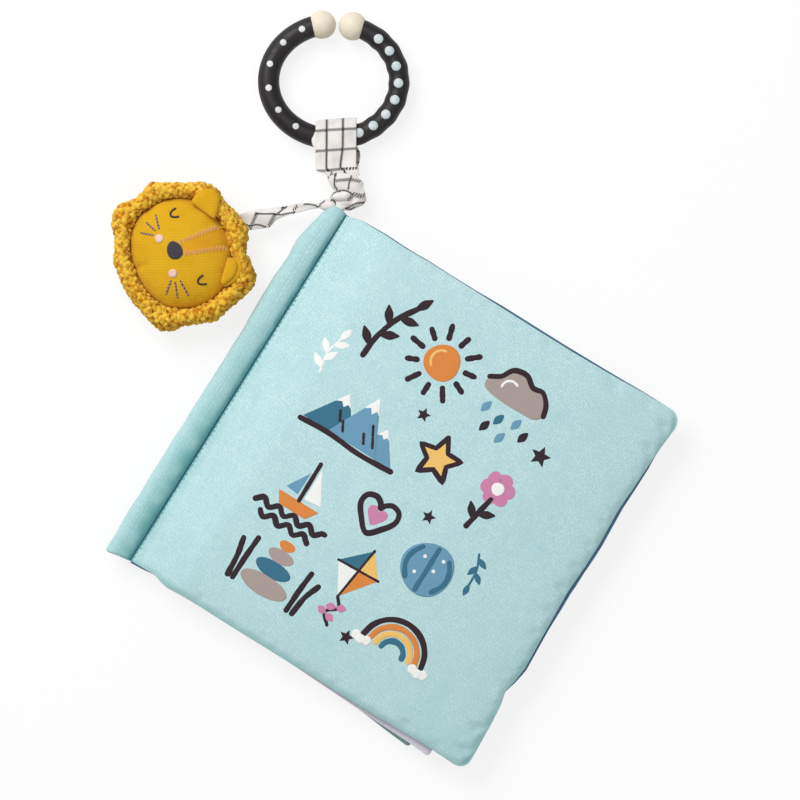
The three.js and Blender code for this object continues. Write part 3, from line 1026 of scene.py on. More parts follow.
@dataclass(frozen=True)
class ClothFinish(Finish):
    """Brushed cotton with a fine weave and, on the covers, tone-on-tone dashes.

    Attributes:
        name: Name of the material.
        colour: Ground colour.
        shade: Deeper tone for the weave and soft patches.
        dash: Lighter tone of the printed dashes, or none.
        on_surface: Whether the pattern follows the surface map.
        rib: Spacing of the weave's ribs.
        turn: Turn of the weave in degrees.
        sheen: Strength of its soft sheen.
        groove: Place of the seam, and width of the painted shade in the hollow on its right or, if
            negative, left.
        patches: Strength of its soft patches.
        rim: Colour of the painted shade along the lower and fore edges, or none.
    """

    name: str
    colour: Colour
    shade: Colour
    dash: Colour | None = None
    on_surface: bool = False
    rib: float = COTTON_RIB
    turn: float = 0.0
    sheen: float = 0.25
    groove: Point | None = None
    patches: float = 0.35
    rim: Colour | None = None

    def make(self) -> Material:
        """Builds the material.

        Returns:
            The material.
        """
        m = Shade(self.name)
        at = m.mapped(m.coords(self.on_surface), turn=self.turn)
        weave = m.weave(at, RIB_UNIT / self.rib, 0.4)
        patches = m.noise(at, 55.0, 3.0, 0.6)
        flecks = m.noise(m.mapped(at, (900.0, 260.0, 900.0)), 1.0, 2.0, 0.6)
        base = m.mix(m.ramp(patches, 0.3, 0.75, (0.0, self.patches)), self.colour, self.shade)
        tone = m.mix(m.ramp(flecks, 0.35, 0.7, (0.0, 0.35)), base, self.shade)
        if self.dash:
            tone = m.mix(self.dashes(m, at), tone, self.dash)
        # Painted shade along the lower and fore edges.
        if self.rim:
            tone = m.mix(self.rim_shade(m), tone, self.rim)
        # Painted shade in the sewn groove: a soft hollow and a darker sewn line.
        if self.groove:
            hollow, line = self.groove_shade(m)
            tone = m.mix(line, m.mix(hollow, tone, ROLL_SHADE), SEAM_SHADE)
        m.fix(Base_Color=m.mix(m.ramp(weave, 0.0, 0.5, (0.22, 0.0)), tone, self.shade))
        m.fix(Roughness=m.ramp(weave, 0.0, 0.8, (0.98, 0.86)))
        m.fix(Sheen_Weight=self.sheen, Sheen_Roughness=0.5, Specular_IOR_Level=0.18)
        m.bump(weave, WEAVE_DEPTH, 0.6)
        m.bump(m.noise(at, 2600.0, 2.0), 0.05 * MM, 0.5)
        return m.material

    def dashes(self, m: Shade, at: Socket) -> Socket:
        """Scatters short dashes of print over the cloth.

        Args:
            m: The material's nodes.
            at: Coordinates of the weave.

        Returns:
            Their strength, from 0 to 1.
        """
        drift = m.add("ShaderNodeTexNoise", Vector=at, Scale=420.0)
        amount = m.add("ShaderNodeVectorMath", operation="SCALE", Scale=0.45 * MM)
        m.feed(amount.inputs[0], drift.outputs["Color"])
        wander = m.add("ShaderNodeVectorMath", operation="ADD")
        m.feed(wander.inputs[0], m.mapped(at, turn=90.0))
        m.feed(wander.inputs[1], amount.outputs[0])
        brick = m.add("ShaderNodeTexBrick", offset=0.37, offset_frequency=2, squash=0.72,
                      squash_frequency=3, Vector=wander.outputs[0], Scale=1.0,
                      Brick_Width=2.8 * MM, Row_Height=1.06 * MM, Mortar_Size=0.27 * MM,
                      Mortar_Smooth=0.5)
        wear_and_shade_patches = m.ramp(m.noise(at, 700.0, 2.0), 0.3, 0.7, (0.35, 1.0))
        faded = m.ramp(m.noise(at, 150.0, 2.0), 0.34, 0.6, (0.6, 1.0))
        return m.times(m.sum("SUBTRACT", 1.0, brick.outputs["Fac"]), wear_and_shade_patches, faded)

    def rim_shade(self, m: Shade) -> Socket:
        """Returns the strength of painted shade near the lower and fore edges, where the cloth
        rolls over away from the light.

        Args:
            m: The material's nodes.

        Returns:
            1 at the edges, 0 away from them.
        """
        x, y = m.split(m.coords())
        low = m.times(y, -1.0)
        close = m.sum("MAXIMUM", m.ramp(x, 79.5 * MM, 84.5 * MM, (0.0, 0.72)),
                      m.ramp(low, 78.5 * MM, 83.5 * MM, (0.0, 0.72)))
        wide = m.sum("ADD", m.ramp(x, 20.0 * MM, 84.0 * MM, (0.0, 0.13)),
                     m.ramp(low, 10.0 * MM, 84.0 * MM, (0.0, 0.13)))
        soft = m.ramp(m.noise(m.coords(), 42.0, 2.0), 0.3, 0.7, (0.45, 1.0))
        return m.sum("MAXIMUM", close, m.times(wide, soft))

    def groove_shade(self, m: Shade) -> tuple[Socket, Socket]:
        """Paints shade into the sewn groove: a soft hollow, and a darker sewn line with a tooth at
        each stitch.

        Args:
            m: The material's nodes.

        Returns:
            Strengths of the painted shade in the hollow and on the line, each 1 inside and 0 away
            from it.
        """
        seam, width = self.groove
        x, y = m.split(m.coords())
        off = m.times(m.sum("SUBTRACT", x, seam), math.copysign(1.0, width))
        wide = abs(width)
        soft = m.ramp(off, wide, wide * 0.15, (0.0, 1.0))
        # Soft dents along the roll, shown as patches of deeper painted shade.
        dimple = m.noise(m.mapped(m.coords(), (20.0, 78.0, 0.0)), 1.0, 1.5)
        fade = m.ramp(y, 40.0 * MM, -42.0 * MM, (0.12, 1.0))
        soft = m.times(soft, fade, m.ramp(dimple, 0.36, 0.56, (0.5, 1.0)))
        # Patchy strength of the painted shade along the groove.
        wear_and_shade_patches = m.noise(m.mapped(m.coords(), (0.0, 160.0, 0.0)), 1.0)
        strength = m.times(m.ramp(y, 76.0 * MM, 62.0 * MM, (0.35, 0.9)),
                           m.ramp(wear_and_shade_patches, 0.3, 0.6, (0.62, 1.0)))
        reach, soft_edge, full = 0.0, 2.6 * MM, 1.0 * MM
        if width > 0:
            soft_edge, full = 0.8 * MM, 0.35 * MM
            # A tooth of painted shade at each stitch.
            beat = m.sum("PINGPONG", y, STITCH_PITCH / 2)
            uneven = m.noise(m.mapped(m.coords(), (0.0, 520.0, 0.0)), 1.0)
            tooth = m.ramp(beat, STITCH_PITCH / 2, 0.1 * MM, (0.0, 1.0 * MM))
            reach = m.times(tooth, m.ramp(uneven, 0.35, 0.65, (0.3, 1.0)))
            soft = m.times(soft, 0.3)
        edge = m.ramp(m.sum("SUBTRACT", off, reach), soft_edge, full)
        return soft, m.times(edge, strength)


@dataclass(frozen=True)
class TapeFinish(Finish):
    """Off-white cotton tape with a woven black check of short slanting stitches.

    Attributes:
        name: Name of the material.
        across: Spacing of the lines that run along the tape.
        along: Spacing of the lines that run across it.
        shift: Shift of the check in metres.
        ground: Colour of the tape.
        shade: Tone of its patches and hollows.
        ink: Colour of the check.
    """

    name: str
    across: float = 6.6 * MM
    along: float = 8.2 * MM
    shift: Point = (0.0, 0.0)
    ground: Colour = (241, 237, 234)
    shade: Colour = (216, 210, 207)
    ink: Colour = (4, 3, 5)

    def make(self) -> Material:
        """Builds the material.

        Returns:
            The material.
        """
        m = Shade(self.name)
        u, v = m.split(m.mapped(m.coords(True), shift=(*self.shift, 0.0)))

        def line(place: Socket, run: Socket, pitch: float, wide: float,
                 sway: float, step: float, gaps: float) -> Socket:
            """Returns a line of stitches: 1 on it, 0 off it.

            Args:
                place: Coordinate across the line.
                run: Coordinate along the line.
                pitch: Spacing of the lines.
                wide: Width of a line.
                sway: How far it zigzags, as a slope.
                step: Length of a stitch.
                gaps: Share of the line that is open.

            Returns:
                1 on it, 0 off it.
            """
            zig = m.sum("PINGPONG", run, step)
            swayed = m.sum("ADD", place, m.times(m.sum("SUBTRACT", zig, step / 2), sway))
            off = m.sum("PINGPONG", swayed, pitch / 2)
            mask = m.sum("LESS_THAN", off, wide / 2)
            beat = m.sum("PINGPONG", run, step * 0.5)
            broken = m.sum("GREATER_THAN", beat, step * 0.5 * gaps)
            return m.times(mask, broken)

        lengthwise = line(u, v, self.across, 0.82 * MM, 1.36, 0.56 * MM, 0.0)
        slanted = m.sum("ADD", u, m.times(v, 0.8))
        crosswise = line(v, slanted, self.along, 1.16 * MM, 0.0, 0.98 * MM, 0.36)
        check = m.sum("MAXIMUM", lengthwise, crosswise)
        at = m.coords(True)
        weave = m.weave(at, 900.0, 0.3)
        soft = m.noise(at, 160.0, 3.0)
        ground = m.mix(m.ramp(soft, 0.35, 0.75), self.ground, self.shade)
        cloth = m.mix(m.ramp(weave, 0.0, 0.5, (0.3, 0.0)), ground, self.shade)
        m.fix(Base_Color=m.mix(check, cloth, self.ink))
        m.fix(Roughness=0.92, Sheen_Weight=0.04, Specular_IOR_Level=0.15)
        m.bump(weave, 0.09 * MM, 0.7)
        m.bump(check, 0.06 * MM, 0.6)
        return m.material


@dataclass(frozen=True)
class FilmFinish(Finish):
    """Thin crackly film that lies between the wadding and the cloth."""

    name: str = "milky_crinkle_film"
    colour: Colour = (232, 236, 238)
    shade: Colour = (206, 214, 220)

    def make(self) -> Material:
        """Builds the material.

        Returns:
            The material.
        """
        m = Shade(self.name)
        crumple = m.noise(m.coords(), 240.0, 6.0, 0.75)
        m.fix(Base_Color=m.mix(m.ramp(crumple, 0.3, 0.7), self.shade, self.colour))
        m.fix(Roughness=m.ramp(crumple, 0.2, 0.8, (0.14, 0.34)))
        m.fix(Specular_IOR_Level=0.55)
        m.bump(crumple, 0.8 * MM, 0.9)
        return m.material


@dataclass(frozen=True)
class MouldedFinish(Finish):
    """Smooth moulded plastic with faint handling marks.

    Attributes:
        name: Name of the material.
        colour: Main colour.
        shade: Second tone of its faint mottling.
        rough: Lowest and highest roughness.
        grain: Depth of its fine grain in metres.
    """

    name: str
    colour: Colour
    shade: Colour
    rough: Point = (0.34, 0.5)
    grain: float = 0.0

    def make(self) -> Material:
        """Builds the material.

        Returns:
            The material.
        """
        m = Shade(self.name)
        at = m.coords()
        mottle = m.noise(at, 140.0, 4.0, 0.6)
        fine = m.noise(at, 2400.0, 2.0)
        m.fix(Base_Color=m.mix(m.ramp(mottle, 0.3, 0.7), self.colour, self.shade))
        m.fix(Roughness=m.ramp(m.noise(at, 320.0, 3.0), 0.3, 0.75, self.rough))
        m.fix(Specular_IOR_Level=0.4)
        m.bump(fine, 0.02 * MM, 0.4)
        if self.grain:
            m.bump(m.wave(m.mapped(at, (1.0, 1.0, 2.0), 30.0), 160.0, "X", 3.0), self.grain, 0.5)
        return m.material


@dataclass(frozen=True)
class ThreadFinish(Finish):
    """Twisted sewing or embroidery thread.

    Attributes:
        name: Name of the material.
        colour: Colour of the thread.
        shade: Colour between its strands.
        strand: Spacing of its strands.
        turn: Direction of the strands in degrees.
        sheen: Strength of its sheen.
    """

    name: str
    colour: Colour
    shade: Colour
    strand: float = 0.32 * MM
    turn: float = 0.0
    sheen: float = 0.4

    def make(self) -> Material:
        """Builds the material.

        Returns:
            The material.
        """
        m = Shade(self.name)
        at = m.mapped(m.coords(), turn=self.turn)
        strands = m.wave(at, RIB_UNIT / self.strand, "X", 1.2)
        fleck = m.noise(at, 1500.0, 2.0)
        tone = m.mix(m.ramp(strands, 0.1, 0.7), self.shade, self.colour)
        m.fix(Base_Color=m.mix(m.ramp(fleck, 0.4, 0.8, (0.0, 0.4)), tone, self.shade))
        m.fix(Roughness=m.ramp(strands, 0.0, 1.0, (0.9, 0.6)))
        m.fix(Sheen_Weight=self.sheen, Specular_IOR_Level=0.3)
        m.bump(strands, 0.09 * MM, 0.8)
        return m.material


@dataclass(frozen=True)
class InkFinish(Finish):
    """Fabric ink that has soaked into the cover's weave.

    Attributes:
        name: Name of the material.
        colour: Colour of the ink.
        shade: Tone where the cloth shows through.
    """

    name: str
    colour: Colour
    shade: Colour

    def make(self) -> Material:
        """Builds the material.

        Returns:
            The material.
        """
        m = Shade(self.name)
        at = m.coords()
        weave = m.weave(at, RIB_UNIT / COTTON_RIB, 0.4)
        dry = m.noise(at, 900.0, 3.0, 0.7)
        tone = m.mix(m.ramp(dry, 0.55, 0.85, (0.0, 0.6)), self.colour, self.shade)
        m.fix(Base_Color=m.mix(m.ramp(weave, 0.0, 0.5, (0.16, 0.0)), tone, self.shade))
        m.fix(Roughness=m.ramp(weave, 0.0, 0.8, (0.95, 0.82)))
        m.fix(Sheen_Weight=0.12, Specular_IOR_Level=0.18)
        m.bump(weave, WEAVE_DEPTH, 0.5)
        return m.material


# ---------------------------------------------------------------- leaves


@dataclass(frozen=True)
class BookSizes:
    """Sizes that the leaves and the spine share, in metres."""

    height: float = 165.0 * MM
    cover_length: float = 155.8 * MM
    seam_x: float = -72.05 * MM
    leaf: float = 3.8 * MM
    pitch: float = 4.1 * MM
    tongue: float = 1.1 * MM
    tongue_pitch: float = 1.4 * MM
    stack_low: float = 5.4 * MM
    crown: float = 14.0 * MM
    ramp: float = 26.0 * MM
    dome: float = 1.6 * MM
    draw_in: float = 1.5 * MM


# How far the sewn edges stand off a plain square: place along the edge and offset, in mm.
TOP_EDGE = ((-72, -2.0), (-70.5, -1.7), (-69, -0.9), (-67.5, -0.4), (-66, 0.0), (-60, 0.2),
            (-54, 0.5), (-48, 0.5), (-42, 0.6), (-34, 1.2), (-9, 1.5), (10, 1.5), (33, 1.3),
            (53, 1.5), (66, 1.9),
            (84, 1.7))
LOW_EDGE = ((-72, 0.4), (-66, 0.3), (-61, 0.35), (-57, -1.2), (-54, -1.85), (-48, -1.5),
            (-40, -1.5), (-30, -1.9), (-18, -2.1), (0, -2.2), (10, -2.0), (28, -1.9),
            (42, -1.6), (49, -1.15), (66, -0.2),
            (84, -0.2))
FORE_EDGE = ((-82, 2.3), (-77, 1.85), (-68, 1.65), (-60, 1.5), (-52, 0.9), (-47, -0.35), (-42, 0.9),
             (-35, 2.0), (-16, 1.15), (0, 0.45), (12, 1.0), (23, 1.0), (39, -0.2), (48, 0.1),
             (64, 0.1), (70, 0.3), (76, 0.7),
             (82, 0.6))

# How far the front cover's lining shows beyond its outer cloth, in millimetres.
LINING_LOW = ((-72, 0.9), (-66, 0.6), (-61, 0.0))
LINING_TOP = ((-68, 0.0), (-62, 0.25), (-54, 0.45), (-24, 0.3), (-12, 0.4), (0, 0.85), (36, 0.85),
              (54, 0.6), (66, 0.3),
              (78, 0.0))
LINING_FORE = ((-48, 0.0), (-42, 0.5), (-37, 0.8), (-17, 0.8), (-7, 1.25), (3, 1.4), (10, 1.1),
               (18, 1.3), (38, 1.2), (48, 0.85), (58, 0.65), (64, 0.1),
               (68, 0.0))


@dataclass
class Leaf:
    """A padded leaf of the book: two cloths sewn round a filling.

    Attributes:
        name: Name of the leaf.
        body: Body that it rides on.
        order: Its place in the stack, from the back.
        short: How much shorter than the cover it is.
        sag: How far its free edge has slipped down.
        slip: How late along the leaf it slips.
        corner: Radius of its corners.
        upper: Node of its upper cloth.
        lower: Node of its lower cloth.
        slots: Material slots of the two cloths.
        finishes: Finishes of the two cloths.
        puff: How far its filling may swell each face.
        steps: Points along the run and up the height.
        sizes: Sizes that all leaves share.
    """

    name: str
    body: Body
    order: int
    short: float
    sag: float
    upper: str
    lower: str
    slots: tuple[str, str]
    finishes: tuple[ClothFinish, ClothFinish]
    puff: Point = (0.12 * MM, 0.12 * MM)
    steps: tuple[int, int] = (88, 100)
    slip: float = 1.0
    corner: float = 5.5 * MM
    sizes: BookSizes = field(default_factory=BookSizes)

    @property
    def length(self) -> float:
        """Length from the seam to the free edge."""
        return self.sizes.cover_length - self.short

    def levels(self, run: np.ndarray, across: np.ndarray) -> tuple[np.ndarray, ...]:
        """Gives the leaf's shape before it is padded.

        Args:
            run: Distances from the seam.
            across: Distances up from its lower edge.

        Returns:
            X, Y, the lower level and the upper level.
        """
        s = self.sizes
        half = s.height / 2
        reach = self.length - run
        along = run / self.length
        side = (across - half) / half
        in_corner = np.maximum(0.0, self.corner - reach)
        cut = self.corner - np.sqrt(np.maximum(0.0, self.corner**2 - in_corner**2))
        drawn = s.draw_in * 4 * along * (1 - along) * (0.3 if self.short else 1.0)
        x = s.seam_x + run - s.draw_in * along**4 * (1 - side**2)
        y = side * (half - cut - drawn) - self.sag * along**self.slip
        side_rim = np.minimum(across, s.height - across)
        power = math.log(2) / math.log(s.crown / (s.crown - (1 - math.sqrt(0.5)) * self.corner))
        in_fore, in_side = np.maximum(0, 1 - reach / s.crown), np.maximum(0, 1 - side_rim / s.crown)
        rim = s.crown * (1 - (in_fore**power + in_side**power) ** (1 / power))
        ramp = smooth(run / s.ramp)
        middle_x = s.seam_x + s.cover_length / 2
        dome_x = np.maximum(0, 1 - ((x - middle_x) / (s.cover_length / 2)) ** 2)
        dome_y = np.maximum(0, 1 - (y / half) ** 2)
        dome = s.dome * ramp * dome_x * dome_y
        tongue = s.stack_low + self.order * s.tongue_pitch
        rest = self.order * s.pitch
        low = tongue + (rest - tongue) * ramp + dome * self.order / 4
        high = (tongue + s.tongue + (rest + s.leaf - tongue - s.tongue) * ramp
                + dome * (self.order + 1) / 4)
        middle = (low + high) / 2
        thick = s.tongue / 2 + ((high - low) / 2 - s.tongue / 2) * rounded(rim / s.crown)
        return x, y, middle - thick, middle + thick

    def edged(self, x: np.ndarray, y: np.ndarray, face: int) -> tuple[np.ndarray, np.ndarray]:
        """Moves points near the edges to the uneven edges of sewn cloth.

        Args:
            x: Places across the book.
            y: Places up the book.
            face: 1 for the upper face, 0 for the lower.

        Returns:
            The moved places.
        """
        if self.short:
            wave = Ripple(31 + self.order, 34.0)
            tuck = 2.8 * MM * bell(x - self.sizes.seam_x, 6.5 * MM) * y / (self.sizes.height / 2)
            return x + 0.5 * MM * wave.at(y / MM, 0 * y), y + 0.3 * MM * wave.at(x / MM,
                                                                                 0 * x + 9) - tuck
        half = self.sizes.height / 2
        near = np.clip(y / half, -1.0, 1.0)
        top = np.interp(x / MM, *zip(*TOP_EDGE)) * MM * 0.9
        low = np.interp(x / MM, *zip(*LOW_EDGE)) * MM * 0.9
        fore = np.interp(y / MM, *zip(*FORE_EDGE)) * MM * 0.9
        if self.order == 0:
            top, low, fore = top - 0.9 * MM, low + 0.9 * MM, fore - 1.0 * MM
        elif face == 0:
            top = top + np.interp(x / MM, *zip(*LINING_TOP)) * MM
            low = low - np.interp(x / MM, *zip(*LINING_LOW)) * MM
            fore = fore + np.interp(y / MM, *zip(*LINING_FORE)) * MM
        out = np.clip((x - self.sizes.seam_x) / self.sizes.cover_length, 0, 1) ** 3
        return x + fore * out, y + np.where(near > 0, top * near**3, low * -(near**3))

    def padded(self) -> np.ndarray:
        """Swells the sewn pad by a cloth simulation.

        Returns:
            Shifts of the lower and upper faces on the coarse grid, as [face, run, across, 3].
        """
        columns, rows = 45, 49
        none = np.zeros((2, columns, rows, 3))
        bpy.ops.object.select_all(action="DESELECT")
        bpy.ops.mesh.primitive_grid_add(x_subdivisions=columns - 1, y_subdivisions=rows - 1,
                                        size=2.0)
        pad = bpy.context.object
        in_edit(pad,
                lambda: bpy.ops.mesh.extrude_region_move(TRANSFORM_OT_translate={"value": (0, 0,
                                                                                           1.0)}))
        flat = corners(pad)
        i = index_of((flat[:, 0] + 1) / 2, columns - 1)
        j = index_of((flat[:, 1] + 1) / 2, rows - 1)
        face = (flat[:, 2] > 0.5).astype(int)
        x, y, low, high = self.levels(i / (columns - 1) * self.length,
                                      j / (rows - 1) * self.sizes.height)
        scale = 10.0
        start = np.stack([x, y, np.where(face == 1, high, low)], axis=1) * scale
        set_corners(pad, start)
        in_edit(pad, lambda: bpy.ops.mesh.normals_make_consistent(inside=False))
        held = pad.vertex_groups.new(name="sewn")
        rim = (i <= 1) | (i == columns - 1) | (j == 0) | (j == rows - 1)
        held.add([int(k) for k in np.flatnonzero(rim)], 1.0, "REPLACE")
        only(pad)
        cloth = pad.modifiers.new("filling", "CLOTH")
        cloth.settings.quality = 5
        cloth.settings.mass = 0.25
        cloth.settings.tension_stiffness = 12
        cloth.settings.compression_stiffness = 12
        cloth.settings.bending_stiffness = 0.6
        cloth.settings.use_pressure = True
        cloth.settings.uniform_pressure_force = 4.0
        cloth.settings.shrink_min = -0.035
        cloth.settings.vertex_group_mass = "sewn"
        cloth.settings.effector_weights.gravity = 0.0
        scene = bpy.context.scene
        for step in range(1, SWELL_FRAMES + 1):
            scene.frame_set(step)
        shown = pad.evaluated_get(bpy.context.evaluated_depsgraph_get())
        end = np.array([v.co for v in shown.data.vertices])
        scene.frame_set(1)
        shift = (end - start) / scale
        out = none
        out[face, i, j] = shift
        bpy.data.objects.remove(pad)
        log.info("%s swelled by up to %.2f mm", self.name, float(np.abs(shift[:, 2]).max()) / MM)
        return out

    def run_shares(self) -> np.ndarray:
        """Shares of the run, closer together beside the seam and at the free edge.

        Returns:
            The shares, from 0 to 1.
        """
        near = np.array([0.0, 0.5, 1.0, 1.5, 2.1, 2.8, 3.6, 4.6, 5.8, 7.2]) * MM
        far = self.length - np.array([6.0, 4.6, 3.4, 2.4, 1.6, 1.0, 0.5, 0.2, 0.0]) * MM
        middle = np.linspace(8.6 * MM, self.length - 7.4 * MM, self.steps[0] - 19)
        return np.concatenate([near, middle, far]) / self.length

    def rise_shares(self) -> np.ndarray:
        """Shares of the height, closer together at both edges.

        Returns:
            The shares, from 0 to 1.
        """
        edge = np.array([0.0, 0.2, 0.5, 1.0, 1.6, 2.4, 3.4]) * MM
        middle = np.linspace(4.4 * MM, self.sizes.height - 4.4 * MM, self.steps[1] - 14)
        return np.concatenate([edge, middle, self.sizes.height - edge[::-1]]) / self.sizes.height

    def relief(self, x: np.ndarray, y: np.ndarray, run: np.ndarray, face: int) -> np.ndarray:
        """Unevenness of a face: soft hollows, and small puckers beside the seam.

        Args:
            x: Places across the book.
            y: Places up the book.
            run: Distances from the seam.
            face: 1 for the upper face, 0 for the lower.

        Returns:
            Heights to add along the face's outward direction.
        """
        seed = 40 + 2 * self.order + face
        wide = Ripple(seed, 46.0).at(x / MM, y / MM)
        small = Ripple(seed + 100, 15.0).at(x / MM, y / MM)
        height = (0.16 * wide + 0.05 * small) * MM * smooth(run / (12 * MM))
        outer = (self.order == 3 and face == 1) or (self.order == 0 and face == 0)
        if outer:
            pinch = 0.5 - 0.5 * np.cos(math.tau * y / (2.0 * MM))
            height -= (0.6 + 0.3 * pinch) * MM * bell(run, 1.2 * MM)
            gather = Ripple(7, 9.0).at(y / MM, 0 * y)
            height += 0.2 * MM * gather * bell(run - 4 * MM, 4 * MM)
        return height

    def face_points(self, swell: np.ndarray, face: int) -> Place:
        """Gives the places of one face's points.

        Args:
            swell: Result of the simulation.
            face: 1 for the upper face, 0 for the lower.

        Returns:
            A function from shares of run and height to places.
        """
        limit = self.puff[face]
        coarse = np.clip(swell[face, :, :, 2], -limit * 1.5, limit * 1.5)

        def place(u: np.ndarray, v: np.ndarray) -> np.ndarray:
            """Places points of the face.

            Args:
                u: Shares round it.
                v: Shares along it.

            Returns:
                The places.
            """
            run, across = u * self.length, v * self.sizes.height
            x, y, low, high = self.levels(run, across)
            z = high if face else low
            gx, gy = u * (coarse.shape[0] - 1), v * (coarse.shape[1] - 1)
            i, j = np.minimum(gx.astype(int), coarse.shape[0] - 2), np.minimum(gy.astype(int),
                                                                               coarse.shape[1] - 2)
            fx, fy = smooth(gx - i), smooth(gy - j)
            lift = ((coarse[i, j] * (1 - fx) + coarse[i + 1, j] * fx) * (1 - fy)
                    + (coarse[i, j + 1] * (1 - fx) + coarse[i + 1, j + 1] * fx) * fy)
            z = z + np.clip(lift, -limit, limit)
            z = z + (1 if face else -1) * self.relief(x, y, run, face)
            if self.order == 0 and face == 0:
                z = np.maximum(z, 0.0)
            x, y = self.edged(x, y, face)
            return np.stack([x, y, z], axis=1)

        return place

    def half_pad(self, swell: np.ndarray, face: int) -> Piece:
        """Builds one cloth of the leaf with the filling behind it.

        Args:
            swell: Result of the simulation.
            face: 1 for the upper cloth, 0 for the lower.

        Returns:
            The closed piece.
        """
        skin = self.face_points(swell, face)
        other = self.face_points(swell, 1 - face)
        tuck = 0.16 * MM

        def back(u: np.ndarray, v: np.ndarray) -> np.ndarray:
            """Places points inside the filling, halfway between both faces.

            Args:
                u: Shares round it.
                v: Shares along it.

            Returns:
                The places.
            """
            middle = skin(u, v)
            middle[:, 2] = (middle[:, 2] + other(u, v)[:, 2]) / 2 + (tuck if face else -tuck) / 2
            return middle

        runs, rises = self.run_shares(), self.rise_shares()
        name = f"{self.name}_{self.upper if face else self.lower}_sewn"
        front = cloth_grid(name, runs, rises, skin, (self.length, self.sizes.height))
        rear = cloth_grid(name + "_inside", runs, rises, back, (self.length, self.sizes.height))
        piece = join(name, [front, rear])
        close_edges(piece, bpy.ops.mesh.bridge_edge_loops)
        return finish_mesh(piece, 62.0)

    def build(self) -> tuple[Piece, Piece]:
        """Builds and dresses both halves.

        Returns:
            The upper and lower pieces.
        """
        swell = self.padded()
        made = []
        for face, kind in ((1, self.upper), (0, self.lower)):
            piece = self.half_pad(swell, face)
            finish = self.finishes[1 - face]
            nodes = [f"{self.name}_{kind}"] + ([f"{self.name}_wadding"] if face else [])
            dress(piece, make(finish), self.body, self.slots[1 - face], nodes)
            made.append(piece)
        return made[0], made[1]


# Cover cloth, with painted shade along its lower and fore edges and in the seam's groove.
AQUA = ClothFinish("aqua_dashed_cloth", (187, 220, 222), (157, 201, 204), dash=(211, 236, 238),
                   groove=(-72.5 * MM, 5.0 * MM), patches=0.24, rim=(136, 189, 186))
# The roll's cloth: the cover's aqua a little darker, as painted shade on the roll, with painted
# shade in the hollow beside the seam.
AQUA_ROLL_SHADED = ClothFinish("aqua_dashed_roll_shaded", (176, 213, 215), (144, 192, 195), dash=(197, 228, 230),
                        on_surface=True,
                        groove=(-72.4 * MM, -10.5 * MM), patches=0.24)
# The fold that closes the groove is deep aqua as painted shade in the groove.
AQUA_FOLD_SHADE = ClothFinish("seam_fold_painted_shade", (70, 138, 145), (48, 108, 116))
BLUE = ClothFinish("blue_lining_cloth", (80, 116, 146), (58, 88, 120))
FILM = FilmFinish()
LILAC = ClothFinish("lilac_page_cloth", (228, 224, 236), (208, 204, 220))
TEAL = ClothFinish("teal_page_cloth", (141, 177, 174), (112, 152, 150))


# ---------------------------------------------------------------- spine


